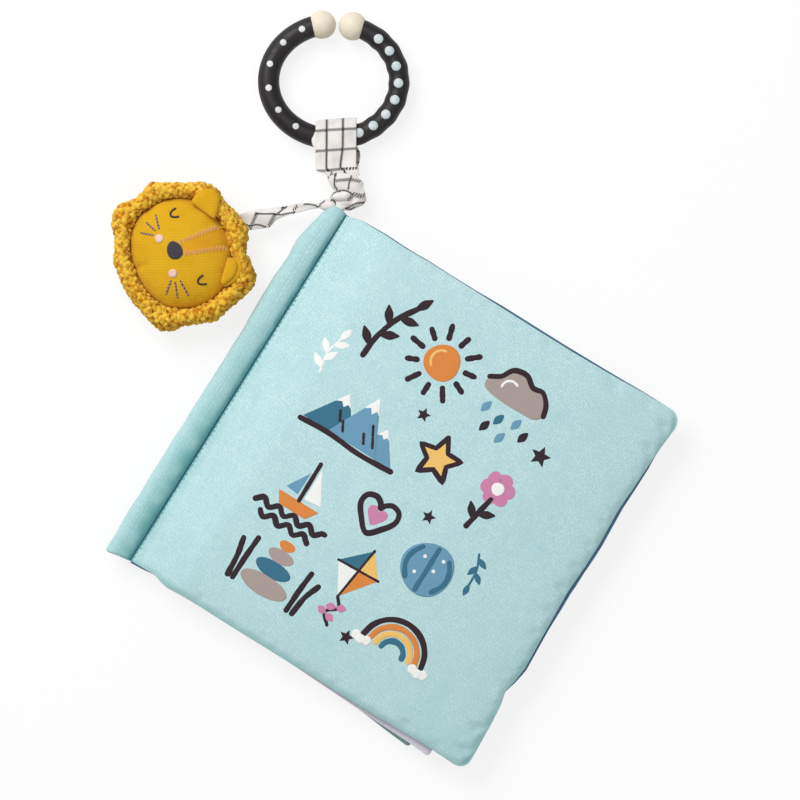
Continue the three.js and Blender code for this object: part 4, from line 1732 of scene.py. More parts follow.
@dataclass
class SpineRoll:
    """The sewn roll that binds the leaves, and its rows of stitches."""

    outer: Points = (
        (-83.7, -82.7), (-80, -83.1), (-49, -83.5), (-27, -83.5), (0, -83.3), (22, -83.2),
        (37, -84.0), (55, -83.5), (62, -84.0), (70, -82.6), (76, -81.2), (80.5, -79.7),
        (82.3, -78.2),
    )
    seam: float = -72.5 * MM
    half_depth: float = 5.0 * MM
    level: float = 8.05 * MM
    top: float = 82.0 * MM
    low: float = -83.2 * MM
    end_round: float = 0.8 * MM

    def section(self, u: np.ndarray, v: np.ndarray) -> np.ndarray:
        """Places points of the roll, by shares round it and along it.

        Args:
            u: Shares round it.
            v: Shares along it.

        Returns:
            The places.
        """
        y = self.low + (self.top - self.low) * v
        from_low, from_top = y - self.low, self.top - y
        from_end = np.minimum(from_low, from_top)
        close = rounded(from_end / self.end_round)
        left = np.interp(y / MM, *zip(*self.outer)) * MM
        centre = (left + self.seam) / 2 - 0.1 * MM
        half = (self.seam - left) / 2 + 0.1 * MM
        thin = 0.82 + 0.18 * smooth(from_end / (16 * MM))
        depth = self.half_depth * thin
        turn = math.tau * u
        c, s = np.cos(turn), np.sin(turn)
        bend = 0.78
        x = centre + bulged(c, bend) * half * np.where(c > 0, 1.0, 0.72 + 0.28 * close)
        z = self.level + bulged(s, bend) * depth * (0.35 + 0.65 * close)
        right = smooth((c + 0.2) / 1.2)
        gather = Ripple(11, 17.0).at(y / MM, 0 * y)
        fine = Ripple(13, 5.5).at(y / MM, 6 * u)
        dimple = np.maximum(0, gather - 0.1) * right * smooth((1 - c) / 0.5)
        z += np.sign(s) * (0.2 * gather * right - 1.3 * dimple + 0.1 * fine) * MM * close
        x += 0.22 * MM * Ripple(17, 13.0).at(y / MM, 3 * u) * close * (1 - right)
        pinch = bell((y / STITCH_PITCH + 0.5) % 1.0 - 0.5, 0.2)
        x -= 0.3 * MM * pinch * smooth((c - 0.75) / 0.25)
        x = np.minimum(x, self.seam)
        z = np.maximum(z, 2.2 * MM)
        inside = (v <= 0) | (v >= 1)
        x = np.where(inside, centre, x)
        z = np.where(inside, self.level, z)
        near = 1 - smooth(from_end / (7 * MM))
        low_end = np.interp(x / MM, (-83.5, -81.5, -80, -78, -76, -73),
                            (-1.2, -1.0, -0.6, -0.1, 0.2, 0.55))
        top_end = np.interp(x / MM, (-80, -78.9, -76, -73.5, -72.4),
                            (0.0, 0.15, -0.15, -0.45, -0.7))
        y = y + near * np.where(from_low < from_top, low_end, top_end) * MM
        return np.stack([x, y, z], axis=1)

    def build(self) -> Piece:
        """Builds and dresses the roll.

        Returns:
            The piece.
        """
        end = np.array([0.0, 0.0004, 0.003, 0.006, 0.009, 0.012, 0.016])
        along = np.concatenate([end, np.linspace(0.019, 0.981, 300), 1 - end[::-1]])
        piece = cloth_grid("spine_roll_sewn", even(57), along, self.section,
                           (36 * MM, self.top - self.low))
        finish_mesh(piece, 70.0)
        dress(piece, make(AQUA_ROLL_SHADED), Body.BOOK, "aqua_cloth",
              ["spine_cloth", "spine_lining", "spine_page_cloth", "spine_page_lining",
               "spine_wadding"])
        return piece

    def fold(self) -> Piece:
        """Builds the sewn fold under the stitches, which closes the groove; its deep aqua is
        painted shade in the groove.

        Returns:
            The piece.
        """
        low, top = self.low + 0.9 * MM, self.top - 1.0 * MM

        def place(u: np.ndarray, v: np.ndarray) -> np.ndarray:
            """Places points of the fold.

            Args:
                u: Shares round it.
                v: Shares along it.

            Returns:
                The places.
            """
            turn = math.tau * u
            inside = (v <= 0) | (v >= 1)
            x = self.seam + 0.2 * MM + np.where(inside, 0.0, 1.25 * MM * np.cos(turn))
            z = self.level + np.where(inside, 0.0, 1.7 * MM * np.sin(turn))
            return np.stack([x, low + (top - low) * np.clip((v - 0.002) / 0.996, 0, 1), z], axis=1)

        shares = np.concatenate([[0.0, 0.002], np.linspace(0.01, 0.99, 80), [0.998, 1.0]])
        piece = finish_mesh(cloth_grid("seam_fold_sewn", even(25), shares, place), 60.0)
        return dress(piece, make(AQUA_FOLD_SHADE), Body.BOOK, "aqua_cloth")

    def stitches(self, side: int) -> Piece:
        """Builds the row of stitches in the groove.

        Args:
            side: 1 for the upper groove, -1 for the lower.

        Returns:
            The piece.
        """
        one = bead(10, 7)
        shape = corners(one) * np.array([0.28, 0.86, 0.24]) * MM
        shape[:, 2] -= 0.12 * MM * (shape[:, 1] / (0.86 * MM)) ** 2
        first = math.ceil((self.low + 1.5 * MM) / STITCH_PITCH)
        count = math.floor((self.top - 2.5 * MM) / STITCH_PITCH) - first
        places = []
        for i in range(count):
            y = (first + i) * STITCH_PITCH
            lean = 0.06 * math.sin(i * 2.4)
            places.append(shape @ np.array([[1, lean, 0], [-lean, 1, 0], [0, 0, 1]]) + np.array([
                self.seam + (0.28 + 0.06 * math.sin(i * 1.7)) * MM, y,
                self.level + side * (1.86 + 0.05 * math.sin(i * 0.9)) * MM]))
        piece = copies(one, "seam_stitches_upper" if side > 0 else "seam_stitches_lower", places)
        return dress(piece, make(SEAM_THREAD), Body.BOOK, "seam_thread",
                     ["seam_thread_upper" if side > 0 else "seam_thread_lower"])


SEAM_THREAD = ThreadFinish("aqua_seam_thread", (96, 164, 170), (46, 112, 120), turn=60.0)


# ---------------------------------------------------------------- studio


LAMP_DISTANCE = 1.1
FLOOR_GLOW = 0.82
SENSOR = 36.0
FOCUS_LEVEL = 12 * MM
CAMERA_TURN = 32.0


@dataclass
class Studio:
    """Pale floor, soft lamps and the camera over the book."""

    centre: Point = (-14.9 * MM, 29.5 * MM)
    turn: float = CAMERA_TURN
    distance: float = 1.7
    view: float = 320.0 * MM
    floor_level: float = -0.15 * MM

    def lamp(self, name: str, towards: tuple[float, float, float], power: float,
             size: float) -> None:
        """Adds an area lamp that faces the book.

        Args:
            name: Name of the lamp.
            towards: Direction from the book to the lamp.
            power: Its power in watts.
            size: Its side in metres.
        """
        target = Vector((*self.centre, 0.0))
        place = target + Vector(towards).normalized() * LAMP_DISTANCE
        bpy.ops.object.light_add(type="AREA", location=place)
        lamp = bpy.context.object
        lamp.name = name
        lamp.data.energy = power
        lamp.data.size = size
        lamp.rotation_euler = (target - place).to_track_quat("-Z", "Y").to_euler()

    def build(self) -> None:
        """Builds the floor, the lamps, the world and the camera."""
        bpy.ops.object.select_all(action="DESELECT")
        bpy.ops.mesh.primitive_plane_add(size=4.0, location=(*self.centre, self.floor_level))
        floor = bpy.context.object
        floor.name = "studio_floor"
        only(floor)
        bpy.ops.object.transform_apply(location=True, rotation=True, scale=True)
        m = Shade("pale_floor")
        m.fix(Base_Color=linear(250, 250, 250), Roughness=0.95, Specular_IOR_Level=0.1)
        path = m.add("ShaderNodeLightPath")
        glow = m.add("ShaderNodeEmission", Color=(1, 1, 1, 1), Strength=1.0)
        blend = m.add("ShaderNodeMixShader")
        seen = m.sum("MAXIMUM", path.outputs["Is Camera Ray"], path.outputs["Is Glossy Ray"])
        shown = (m.times(seen, FLOOR_GLOW), m.surface.outputs[0], glow.outputs[0])
        for socket, source in zip(blend.inputs, shown):
            m.feed(socket, source)
        out = next(n for n in m.nodes if n.type == "OUTPUT_MATERIAL")
        m.feed(out.inputs["Surface"], blend.outputs[0])
        floor.data.materials.append(m.material)

        world = bpy.data.worlds.new("soft_sky")
        bpy.context.scene.world = world
        world.use_nodes = True
        sky = world.node_tree
        back = next(n for n in sky.nodes if n.type == "BACKGROUND")
        back.inputs["Color"].default_value = (1.0, 1.0, 1.0, 1.0)
        ray = sky.nodes.new("ShaderNodeLightPath")
        level = sky.nodes.new("ShaderNodeMapRange")
        level.inputs["To Min"].default_value = 0.36
        level.inputs["To Max"].default_value = 1.0
        sky.links.new(ray.outputs["Is Camera Ray"], level.inputs["Value"])
        sky.links.new(level.outputs["Result"], back.inputs["Strength"])

        self.lamp("key_lamp", (-0.80, 0.28, 0.95), 9.5, 0.6)
        self.lamp("fill_lamp", (0.75, -0.35, 1.2), 2.2, 1.0)

        bpy.ops.object.camera_add(location=(*self.centre, self.distance),
                                  rotation=(0, 0, math.radians(self.turn)))
        camera = bpy.context.object
        camera.name = "photo_camera"
        camera.data.sensor_width = SENSOR
        camera.data.lens = SENSOR * (self.distance - FOCUS_LEVEL) / self.view
        camera.data.clip_start = 0.01
        camera.data.clip_end = 20.0
        bpy.context.scene.camera = camera
        bpy.context.scene.view_settings.view_transform = "Standard"


# ---------------------------------------------------------------- link ring


RING_CENTRE = (-105.235 * MM, 123.945 * MM, 5.7 * MM)
KNOT_CENTRE = (-76.30 * MM, 87.80 * MM, 8.05 * MM)
STRAP_PIVOT = (-82.151 * MM, 92.634 * MM, 10.4 * MM)
STRAP_TURN = 36.4
LION_STRAP_START = (-85.406 * MM, 81.049 * MM)
LION_STRAP_END = (-104.939 * MM, 58.016 * MM)
LION_CENTRE = (-120.168 * MM, 32.882 * MM)
LION_TURN = -35.7


def from_view(right: float, up: float, centre: Point, degrees: float) -> Point:
    """Turns millimetres on a piece's own axes into a place in metres.

    Args:
        right: Millimetres to the piece's right.
        up: Millimetres towards its top.
        centre: Its centre in metres.
        degrees: Its turn.

    Returns:
        X and Y in metres.
    """
    x, y = turned(right * MM, up * MM, degrees)
    return centre[0] + x, centre[1] + y


@dataclass
class LinkRing:
    """Open oval ring with ball tips, small dots on one arm and big dots on the other."""

    long: float = 26.2 * MM
    short: float = 23.1 * MM
    rod: float = 4.3 * MM
    ball: float = 5.7 * MM
    opening: float = 86.8
    ball_turn: float = 13.77
    small_dots: Points = (
        (-12.70, 20.63), (-20.20, 15.23), (-25.55, 6.68), (-26.05, -2.92), (-22.15, -11.72),
        (-15.15, -18.32))
    big_dots: Points = (
        (17.95, 16.68), (22.35, 11.88), (25.05, 5.78), (25.95, -1.02), (24.45, -7.72),
        (20.85, -13.52), (15.85, -18.02), (10.15, -20.92))

    def line(self, degrees: np.ndarray) -> tuple[np.ndarray, np.ndarray]:
        """Returns the rod's middle line at angles round the ring, in its own axes."""
        a = np.radians(degrees)
        return self.long * np.cos(a), self.short * np.sin(a)

    def place(self, x: np.ndarray, y: np.ndarray, z: np.ndarray) -> np.ndarray:
        """Turns the ring's own coordinates into places."""
        gx, gy = turned(x, y, CAMERA_TURN)
        return np.stack([gx + RING_CENTRE[0], gy + RING_CENTRE[1], z + RING_CENTRE[2]], axis=1)

    def bulge(self, degrees: np.ndarray) -> np.ndarray:
        """Swelling of the rod round each big dot on the right arm.

        Args:
            degrees: Angles in degrees.

        Returns:
            The swelling, from 0 to 1.
        """
        total = np.zeros_like(degrees)
        for x, y in self.big_dots:
            at = math.degrees(math.atan2(y / (self.short / MM), x / (self.long / MM)))
            off = (degrees - at + 180.0) % 360.0 - 180.0
            total += bell(off, 5.0)
        return np.minimum(total, 1.0)

    def rod_point(self, u: np.ndarray, v: np.ndarray) -> np.ndarray:
        """Places points of the rod, by shares round it and along it.

        Args:
            u: Shares round it.
            v: Shares along it.

        Returns:
            The places.
        """
        first = self.opening + self.ball_turn
        last = self.opening + 360.0 - self.ball_turn
        degrees = first + (last - first) * v
        a = np.radians(degrees)
        x, y = self.line(degrees)
        nx, ny = self.short * np.cos(a), self.long * np.sin(a)
        size = np.hypot(nx, ny)
        waist = 0.08 * (1 - self.bulge(degrees)) * smooth((np.cos(a) - 0.1) / 0.3)
        radius = self.rod * (1.0 - waist)
        radius = np.where((v <= 0) | (v >= 1), 0.0, radius)
        turn = math.tau * u
        out = radius * np.cos(turn)
        return self.place(x + nx / size * out, y + ny / size * out, radius * np.sin(turn))

    def tip(self, side: int) -> Piece:
        """Builds a ball tip with a shallow collar where the rod enters.

        Args:
            side: 1 for the left ball, -1 for the right.

        Returns:
            The piece.
        """
        degrees = self.opening + side * self.ball_turn
        x, y = self.line(np.array([degrees]))
        a = math.radians(degrees)
        run = Vector((-self.long * math.sin(a), self.short * math.cos(a), 0)).normalized() * side

        def point(u: np.ndarray, v: np.ndarray) -> np.ndarray:
            """Places points of the ball.

            Args:
                u: Shares round it.
                v: Shares along it.

            Returns:
                The places.
            """
            polar = math.pi * v
            r = np.sin(polar) * self.ball
            h = np.cos(polar) * self.ball
            cut = 0.66 * self.ball
            lip = smooth((h - cut) / (0.16 * self.ball))
            h = np.minimum(h, cut + 0.25 * MM * (1 - lip))
            turn = math.tau * u
            across = Vector((-run.y, run.x, 0))
            px = x[0] + run.x * h + across.x * r * np.cos(turn)
            py = y[0] + run.y * h + across.y * r * np.cos(turn)
            return self.place(px, py, r * np.sin(turn))

        name = "left_ball_tip" if side > 0 else "right_ball_tip"
        piece = finish_mesh(cloth_grid(name + "_moulded", even(49), even(37), point), 50.0)
        return dress(piece, make(CREAM_PLASTIC), Body.LINK_RING, "ball_plastic", [name])

    def dots(self, name: str, places: Points, radius: float, finish: Finish,
             skin: Drape) -> Piece:
        """Builds a row of inlaid dots on the upper and lower face.

        Args:
            name: Name of the piece.
            places: Dots in millimetres on the ring's own axes.
            radius: Radius of a dot.
            finish: Its finish.
            skin: The rod.

        Returns:
            The piece.
        """
        made = []
        patch = Patch(0.16 * MM, 0.3 * MM, 0.3)
        angle = circle(28)
        for side in (1.0, -1.0):
            for i, (right, up) in enumerate(places):
                cx, cy = from_view(right, up, RING_CENTRE[:2], CAMERA_TURN)
                x, y = cx + radius * np.cos(angle), cy + radius * np.sin(angle)
                outline = np.stack([x, y], axis=1)
                made.append(patch.fill(f"{name}_{i}", skin, outline, (cx, cy), side))
        return dress(join(name, made), make(finish), Body.LINK_RING, "ball_plastic")

    def build(self) -> None:
        """Builds and dresses the ring."""
        along = np.concatenate([[0.0], np.linspace(0.0004, 0.9996, 200), [1.0]])
        rod = finish_mesh(cloth_grid("ring_rod_moulded", even(33), along, self.rod_point), 60.0)
        dress(rod, make(BLACK_PLASTIC), Body.LINK_RING, "ring_plastic", ["ring_rod"])
        skin = Drape(rod)
        self.dots("ring_small_dots", self.small_dots, 1.3 * MM, WHITE_DOT, skin)
        self.dots("ring_big_dots", self.big_dots, 1.9 * MM, BLUE_DOT, skin)
        self.tip(1)
        self.tip(-1)


BLACK_PLASTIC = MouldedFinish("black_ring_plastic", (35, 28, 30), (27, 22, 24), (0.46, 0.6))
CREAM_PLASTIC = MouldedFinish("cream_ball_plastic", (228, 220, 201), (222, 211, 189), (0.5, 0.62),
                              0.05 * MM)
WHITE_DOT = MouldedFinish("white_dot_paint", (222, 222, 220), (206, 208, 210), (0.4, 0.5))
BLUE_DOT = MouldedFinish("pale_blue_dot_paint", (204, 214, 216), (188, 202, 206), (0.4, 0.5))


# ---------------------------------------------------------------- straps and knot


@dataclass
class RingStrap:
    """Loop of checked tape round the ring, gathered into the knot."""

    width: float = 16.4 * MM
    tape: float = 0.8 * MM
    drop: float = -4.62 * MM
    layer: float = 5.25 * MM
    turn_out: float = 18.35 * MM

    def path(self) -> tuple[np.ndarray, np.ndarray]:
        """Returns the tape's middle line as distances out and levels, from the front end.

        Returns:
            Distances out and levels.
        """
        def arc(a: float) -> Point:
            """Returns a point of the turn over the rod."""
            return (self.turn_out + self.layer * math.cos(a), self.drop + self.layer * math.sin(a))
        top = self.drop + self.layer
        points = [(0.25 * MM, 0.75 * MM), (1.0 * MM, 1.25 * MM), (2.2 * MM, top + 0.75 * MM),
                  (3.6 * MM, top + 0.3 * MM), (6 * MM, top), (9 * MM, top + 0.1 * MM),
                  (13 * MM, top + 0.12 * MM)]
        points += [arc(math.pi / 2 - math.pi * i / 16) for i in range(17)]
        low = self.drop - self.layer
        points += [(12.4 * MM, low), (10.7 * MM, low + 0.45 * MM), (8.9 * MM, low + 1.7 * MM),
                   (7.8 * MM, low + 3.5 * MM),
                   (7.3 * MM, low + 5.2 * MM), (6.2 * MM, low + 6.7 * MM), (4.6 * MM, low * 0.22),
                   (3 * MM, low * 0.18),
                   (1.2 * MM, low * 0.12), (0.25 * MM, -0.75 * MM)]
        flat = np.array(points)
        run = np.concatenate([[0], np.cumsum(np.hypot(*np.diff(flat, axis=0).T))])
        fine = np.linspace(0, run[-1], 150)
        out = np.interp(fine, run, flat[:, 0])
        level = np.interp(fine, run, flat[:, 1])
        for _ in range(6):
            out[1:-1] = (out[:-2] + 2 * out[1:-1] + out[2:]) / 4
            level[1:-1] = (level[:-2] + 2 * level[1:-1] + level[2:]) / 4
        return out, level

    def build(self) -> Piece:
        """Builds and dresses the loop.

        Returns:
            The piece.
        """
        out, level = self.path()
        run = np.concatenate([[0], np.cumsum(np.hypot(np.diff(out), np.diff(level)))])
        tip = int(np.argmax(out))
        along_run = run - run[tip]
        dout, dlevel = np.gradient(out), np.gradient(level)
        size = np.hypot(dout, dlevel)
        normal_out, normal_level = -dlevel / size, dout / size
        back = np.arange(len(out)) > tip
        narrow = np.where(back, smooth(out / (9 * MM)), smooth((out - 0.2 * MM) / (3.2 * MM)))
        width = self.width * (0.72 + 0.28 * narrow)
        front_shift = np.interp(out / MM, [0.2, 1.2, 3.4, 4.6, 24], [1.6, 0.9, -1.5, -1.8, -0.2])
        back_shift = np.interp(out / MM, [0.2, 4, 10, 12.5, 15.5, 18.5, 21, 24],
                               [1.6, 0.4, 0.1, -0.9, -2.2, -1.9, -0.5, -0.2])
        shift = np.where(back, back_shift, front_shift) * MM
        count = len(out)
        around = 29

        def point(u: np.ndarray, v: np.ndarray) -> np.ndarray:
            """Places points of the tape.

            Args:
                u: Shares round it.
                v: Shares along it.

            Returns:
                The places.
            """
            i = index_of(v, count - 1)
            turn = math.tau * u
            c, s = np.cos(turn), np.sin(turn)
            x = bulged(c, 0.55) * width[i] / 2
            t = bulged(s, 0.6) * self.tape / 2
            share = x / (width[i] / 2)
            fold = (1 - smooth(out[i] / (5.5 * MM)))
            crease = (0.75 * np.sin(share * 5.2 + 0.8)
                      + 0.35 * np.sin(share * 11.0 + along_run[i] * 300)) * MM * fold
            wave = 0.12 * MM * Ripple(23, 9.0).at(x / MM, along_run[i] / MM)
            bow = -0.2 * MM * share**2 * (1 - fold)
            lift = t + crease + wave + bow
            o = out[i] + normal_out[i] * lift
            z = level[i] + normal_level[i] * lift
            tilt = -0.015 * x * smooth((out[i] - 6 * MM) / (12 * MM))
            gx, gy = turned(x + shift[i], o + tilt, STRAP_TURN)
            return np.stack([gx + STRAP_PIVOT[0], gy + STRAP_PIVOT[1], z + STRAP_PIVOT[2]], axis=1)

        piece = cloth_grid("ring_strap_loop_tape", even(around), even(count), point)
        self.map_tape(piece, along_run)
        close_tape(piece)
        side = Cushion(((-7.2, 11.2), (-9.0, 11.6), (-10.4, 13.4), (-10.8, 15.6), (-10.3, 17.7),
                        (-8.8, 19.4), (-6.8, 19.6)),
                       (-7.6, 15.5), 9.5, 0.75, 1.2, 0.6, 4, NO_LINES)
        bulge = side.build("ring_strap_side_fold", STRAP_PIVOT[:2], STRAP_TURN)
        piece = join("ring_strap_loop_tape", [piece, bulge])
        return dress(piece, make(LOOP_TAPE), Body.RING_STRAP, "checked_tape", ["ring_strap_loop"])

    def map_tape(self, piece: Piece, run: np.ndarray) -> None:
        """Lays the check along the tape, in metres from its left edge and from the top of the loop.

        Args:
            piece: The loop, whose surface map still holds shares.
            run: Run of each row from the top of the loop.
        """
        around, along = surface_map(piece)
        turn = math.tau * around
        across = (bulged(np.cos(turn), 0.55) + 1) / 2 * self.width
        row = index_of(along, len(run) - 1)
        pulled = smooth((-run[row] - 14 * MM) / (9 * MM)) * bell(across - 10 * MM, 3 * MM)
        set_surface_map(piece, across + 1.4 * MM * pulled, -run[row])


LOOP_TAPE = TapeFinish("checked_tape_loop", across=6.5 * MM, along=8.0 * MM,
                       shift=(-4.5 * MM, -7.6 * MM))
PLAIN_TAPE = TapeFinish("checked_tape_between_lines", across=1.0, along=1.0, shift=(0.25, 0.25))


CHECK_THREAD = ThreadFinish("black_check_thread", (14, 12, 15), (4, 3, 5), strand=0.5 * MM,
                            turn=30.0)


def woven_check(name: str, skin: Drape, lines: Sequence[Points], hatched: Sequence[int],
                sides: Sequence[float], body: Body, span: tuple | None = None) -> Piece:
    """Weaves check lines into tape: toothed along it, and short slanting stitches across it.

    Args:
        name: Name of the piece.
        skin: The tape's skin.
        lines: The lines, in millimetres on the view's axes from the knot's centre.
        hatched: Numbers of the lines that run across the tape.
        sides: Sides of the tape that show them, 1 upper and -1 lower.
        body: Body that the tape belongs to.
        span: The far body and the stretch near it, for tape that crosses a joint; passed on to
            dress.

    Returns:
        The piece.
    """
    thread = Patch(0.12 * MM, 0.25 * MM, drop=0.35 * MM)
    made = []
    for i, line in enumerate(lines):
        run = dense(line, 0.44 if i in hatched else 0.46, False)
        step = direction(run)
        across = np.stack([-step[:, 1], step[:, 0]], axis=1)
        if i not in hatched:
            run = run + across * 0.26 * np.where(np.arange(len(run)) % 2, 1.0, -1.0)[:, None]
        x, y = turned(run[:, 0] * MM, run[:, 1] * MM, CAMERA_TURN)
        flat = np.stack([x + KNOT_CENTRE[0], y + KNOT_CENTRE[1]], axis=1)
        for side in sides:
            for k, part in enumerate(skin.runs(flat, 1.7 * MM, side)):
                if i not in hatched:
                    made.append(thread.stroke(f"check_{i}_{k}", skin, part, 0.62 * MM, side, 6))
                    continue
                along = direction(part)
                for n in range(0, len(part), 2):
                    lean = along[n] * 0.3 + np.array([-along[n][1], along[n][0]]) * 0.5
                    ends = np.array([part[n] + lean * s * MM for s in (-1.0, 0.0, 1.0)])
                    for short in skin.runs(ends, 1.4 * MM, side):
                        made.append(thread.stroke(f"check_{i}_{k}_{n}", skin, short, 0.5 * MM, side,
                                                  6))
    return dress(join(name, made), make(CHECK_THREAD), body, "checked_tape", span=span)


@dataclass
class StrapKnot:
    """The tied tape at the top of the roll: a folded band with rolled lobes under it.

    Attributes:
        lines: Its check lines, in millimetres on the view's axes from the knot's centre.
        lobes: The folds, on the same axes.
    """

    lines: Sequence[Points] = (
        ((-5.0, 5.6), (-2.2, 6.0), (1.35, 6.2), (3.7, 5.8), (5.9, 5.2)),
        ((-6.5, -1.4), (-6.1, -0.3), (-5.2, 0.8), (-4.0, 1.4), (-2.9, 1.55)),
        ((-2.9, 1.65), (-1.4, 1.9), (0.4, 1.4), (2.3, 0.25)),
        ((2.6, 0.6), (4.1, 0.15), (5.6, -0.15), (7.2, 0.15)),
        ((2.3, 0.25), (1.5, -0.7), (0.25, -1.8)),
        ((6.7, -2.9), (4.9, -3.05), (3.4, -3.25), (1.9, -4.0), (0.4, -4.9), (-0.9, -5.6)),
        ((6.5, -3.8), (4.1, -4.55), (1.9, -5.3), (0.2, -5.8)),
        ((-11.0, -4.0), (-10.2, -3.2), (-9.0, -2.4)),
        ((-6.3, -2.0), (-5.2, -2.5), (-4.5, -3.3)),
        ((-4.8, 8.0), (-5.1, 5.6), (-5.15, 4.5), (-4.8, 3.0), (-3.8, 2.3)),
        ((1.8, 7.6), (1.35, 6.2), (0.7, 4.5), (0.6, 2.4)),
        ((-7.6, 7.2), (-6.9, 7.9), (-6.1, 8.6), (-5.3, 8.9), (-4.4, 8.6), (-4.2, 7.9)),
    )
    lobes: Sequence[Cushion] = (
        Cushion(((-4.5, -1.1), (-2.9, -0.4), (0.2, -0.6), (2.7, -1.6), (3.7, -3.2), (1.7, -4.4),
                 (-0.8, -5.7), (-2.4, -6.9), (-5.3, -6.6),
                 (-6.0, -3.6)), (-2.2, -3.4), 7.4, 4.0, 4.4, 0.7, 5,
                NO_LINES, 0.35, 43),
        Cushion(((2.1, 0.6), (5.4, 0.4), (7.4, 0.3), (7.9, -1.3), (7.5, -2.6), (6.4, -3.8),
                 (3.9, -4.8), (1.3, -6.0), (-0.9, -6.0), (-1.2, -5.0), (0.2, -3.4),
                 (0.8, -1.5)), (3.6, -2.4), 7.0, 3.6, 3.8,
                0.6, 3,
                NO_LINES, 0.45, 47),
        Cushion(((-11.7, -4.2), (-11.3, -3.2), (-10.0, -2.2), (-8.6, -1.6), (-7.2, -1.3),
                 (-5.7, -1.6), (-4.3, -2.6), (-3.5, -4.0), (-4.5, -5.9), (-7.6, -6.3),
                 (-10.4, -5.6)), (-7.6, -3.8), 8.2, 3.7,
                3.6, 0.75, 4,
                NO_LINES, 0.25, 53),
        Cushion(((-7.0, -1.3), (-6.5, -0.1), (-5.6, 1.2), (-4.5, 2.2), (-3.3, 2.4), (-0.8, 2.3),
                 (1.3, 1.7), (2.5, 0.5), (1.9, -0.9), (0.6, -2.2), (-1.6, -2.8), (-4.1, -2.5),
                 (-5.7, -1.8)), (-2.4, -0.3),
                9.4, 4.2, 4.2,
                0.8, 4, NO_LINES, 0.3, 59),
        Cushion(((-8.0, 6.8), (-7.2, 5.2), (-6.1, 3.2), (-5.3, 1.9), (-3.3, 1.1), (-0.4, 0.9),
                 (2.3, -0.1), (4.9, -0.9), (7.2, -0.8), (7.7, -0.1), (6.9, 1.7), (6.4, 3.2),
                 (6.7, 4.9), (5.6, 6.0), (4.3, 7.0), (3.6, 8.6), (-0.4, 9.2), (-5.3, 9.2),
                 (-7.8, 8.4)), (0.2, 4.4), 10.4, 2.1, 3.2, 0.34, 2,
                (-5.1, 5.75, 1.5, 1.0, 1.0), 0.3, 61),
    )

    def build(self) -> Piece:
        """Builds and dresses the knot.

        Returns:
            The piece.
        """
        made = [lobe.build(f"knot_fold_{i}", KNOT_CENTRE[:2], CAMERA_TURN)
                for i, lobe in enumerate(self.lobes)]
        piece = join("strap_knot_tape", made)
        woven_check("strap_knot_woven_lines", Drape(piece), self.lines, (0, 3), (1.0,), Body.BOOK)
        return dress(piece, make(PLAIN_TAPE), Body.BOOK, "checked_tape", ["strap_knot"])


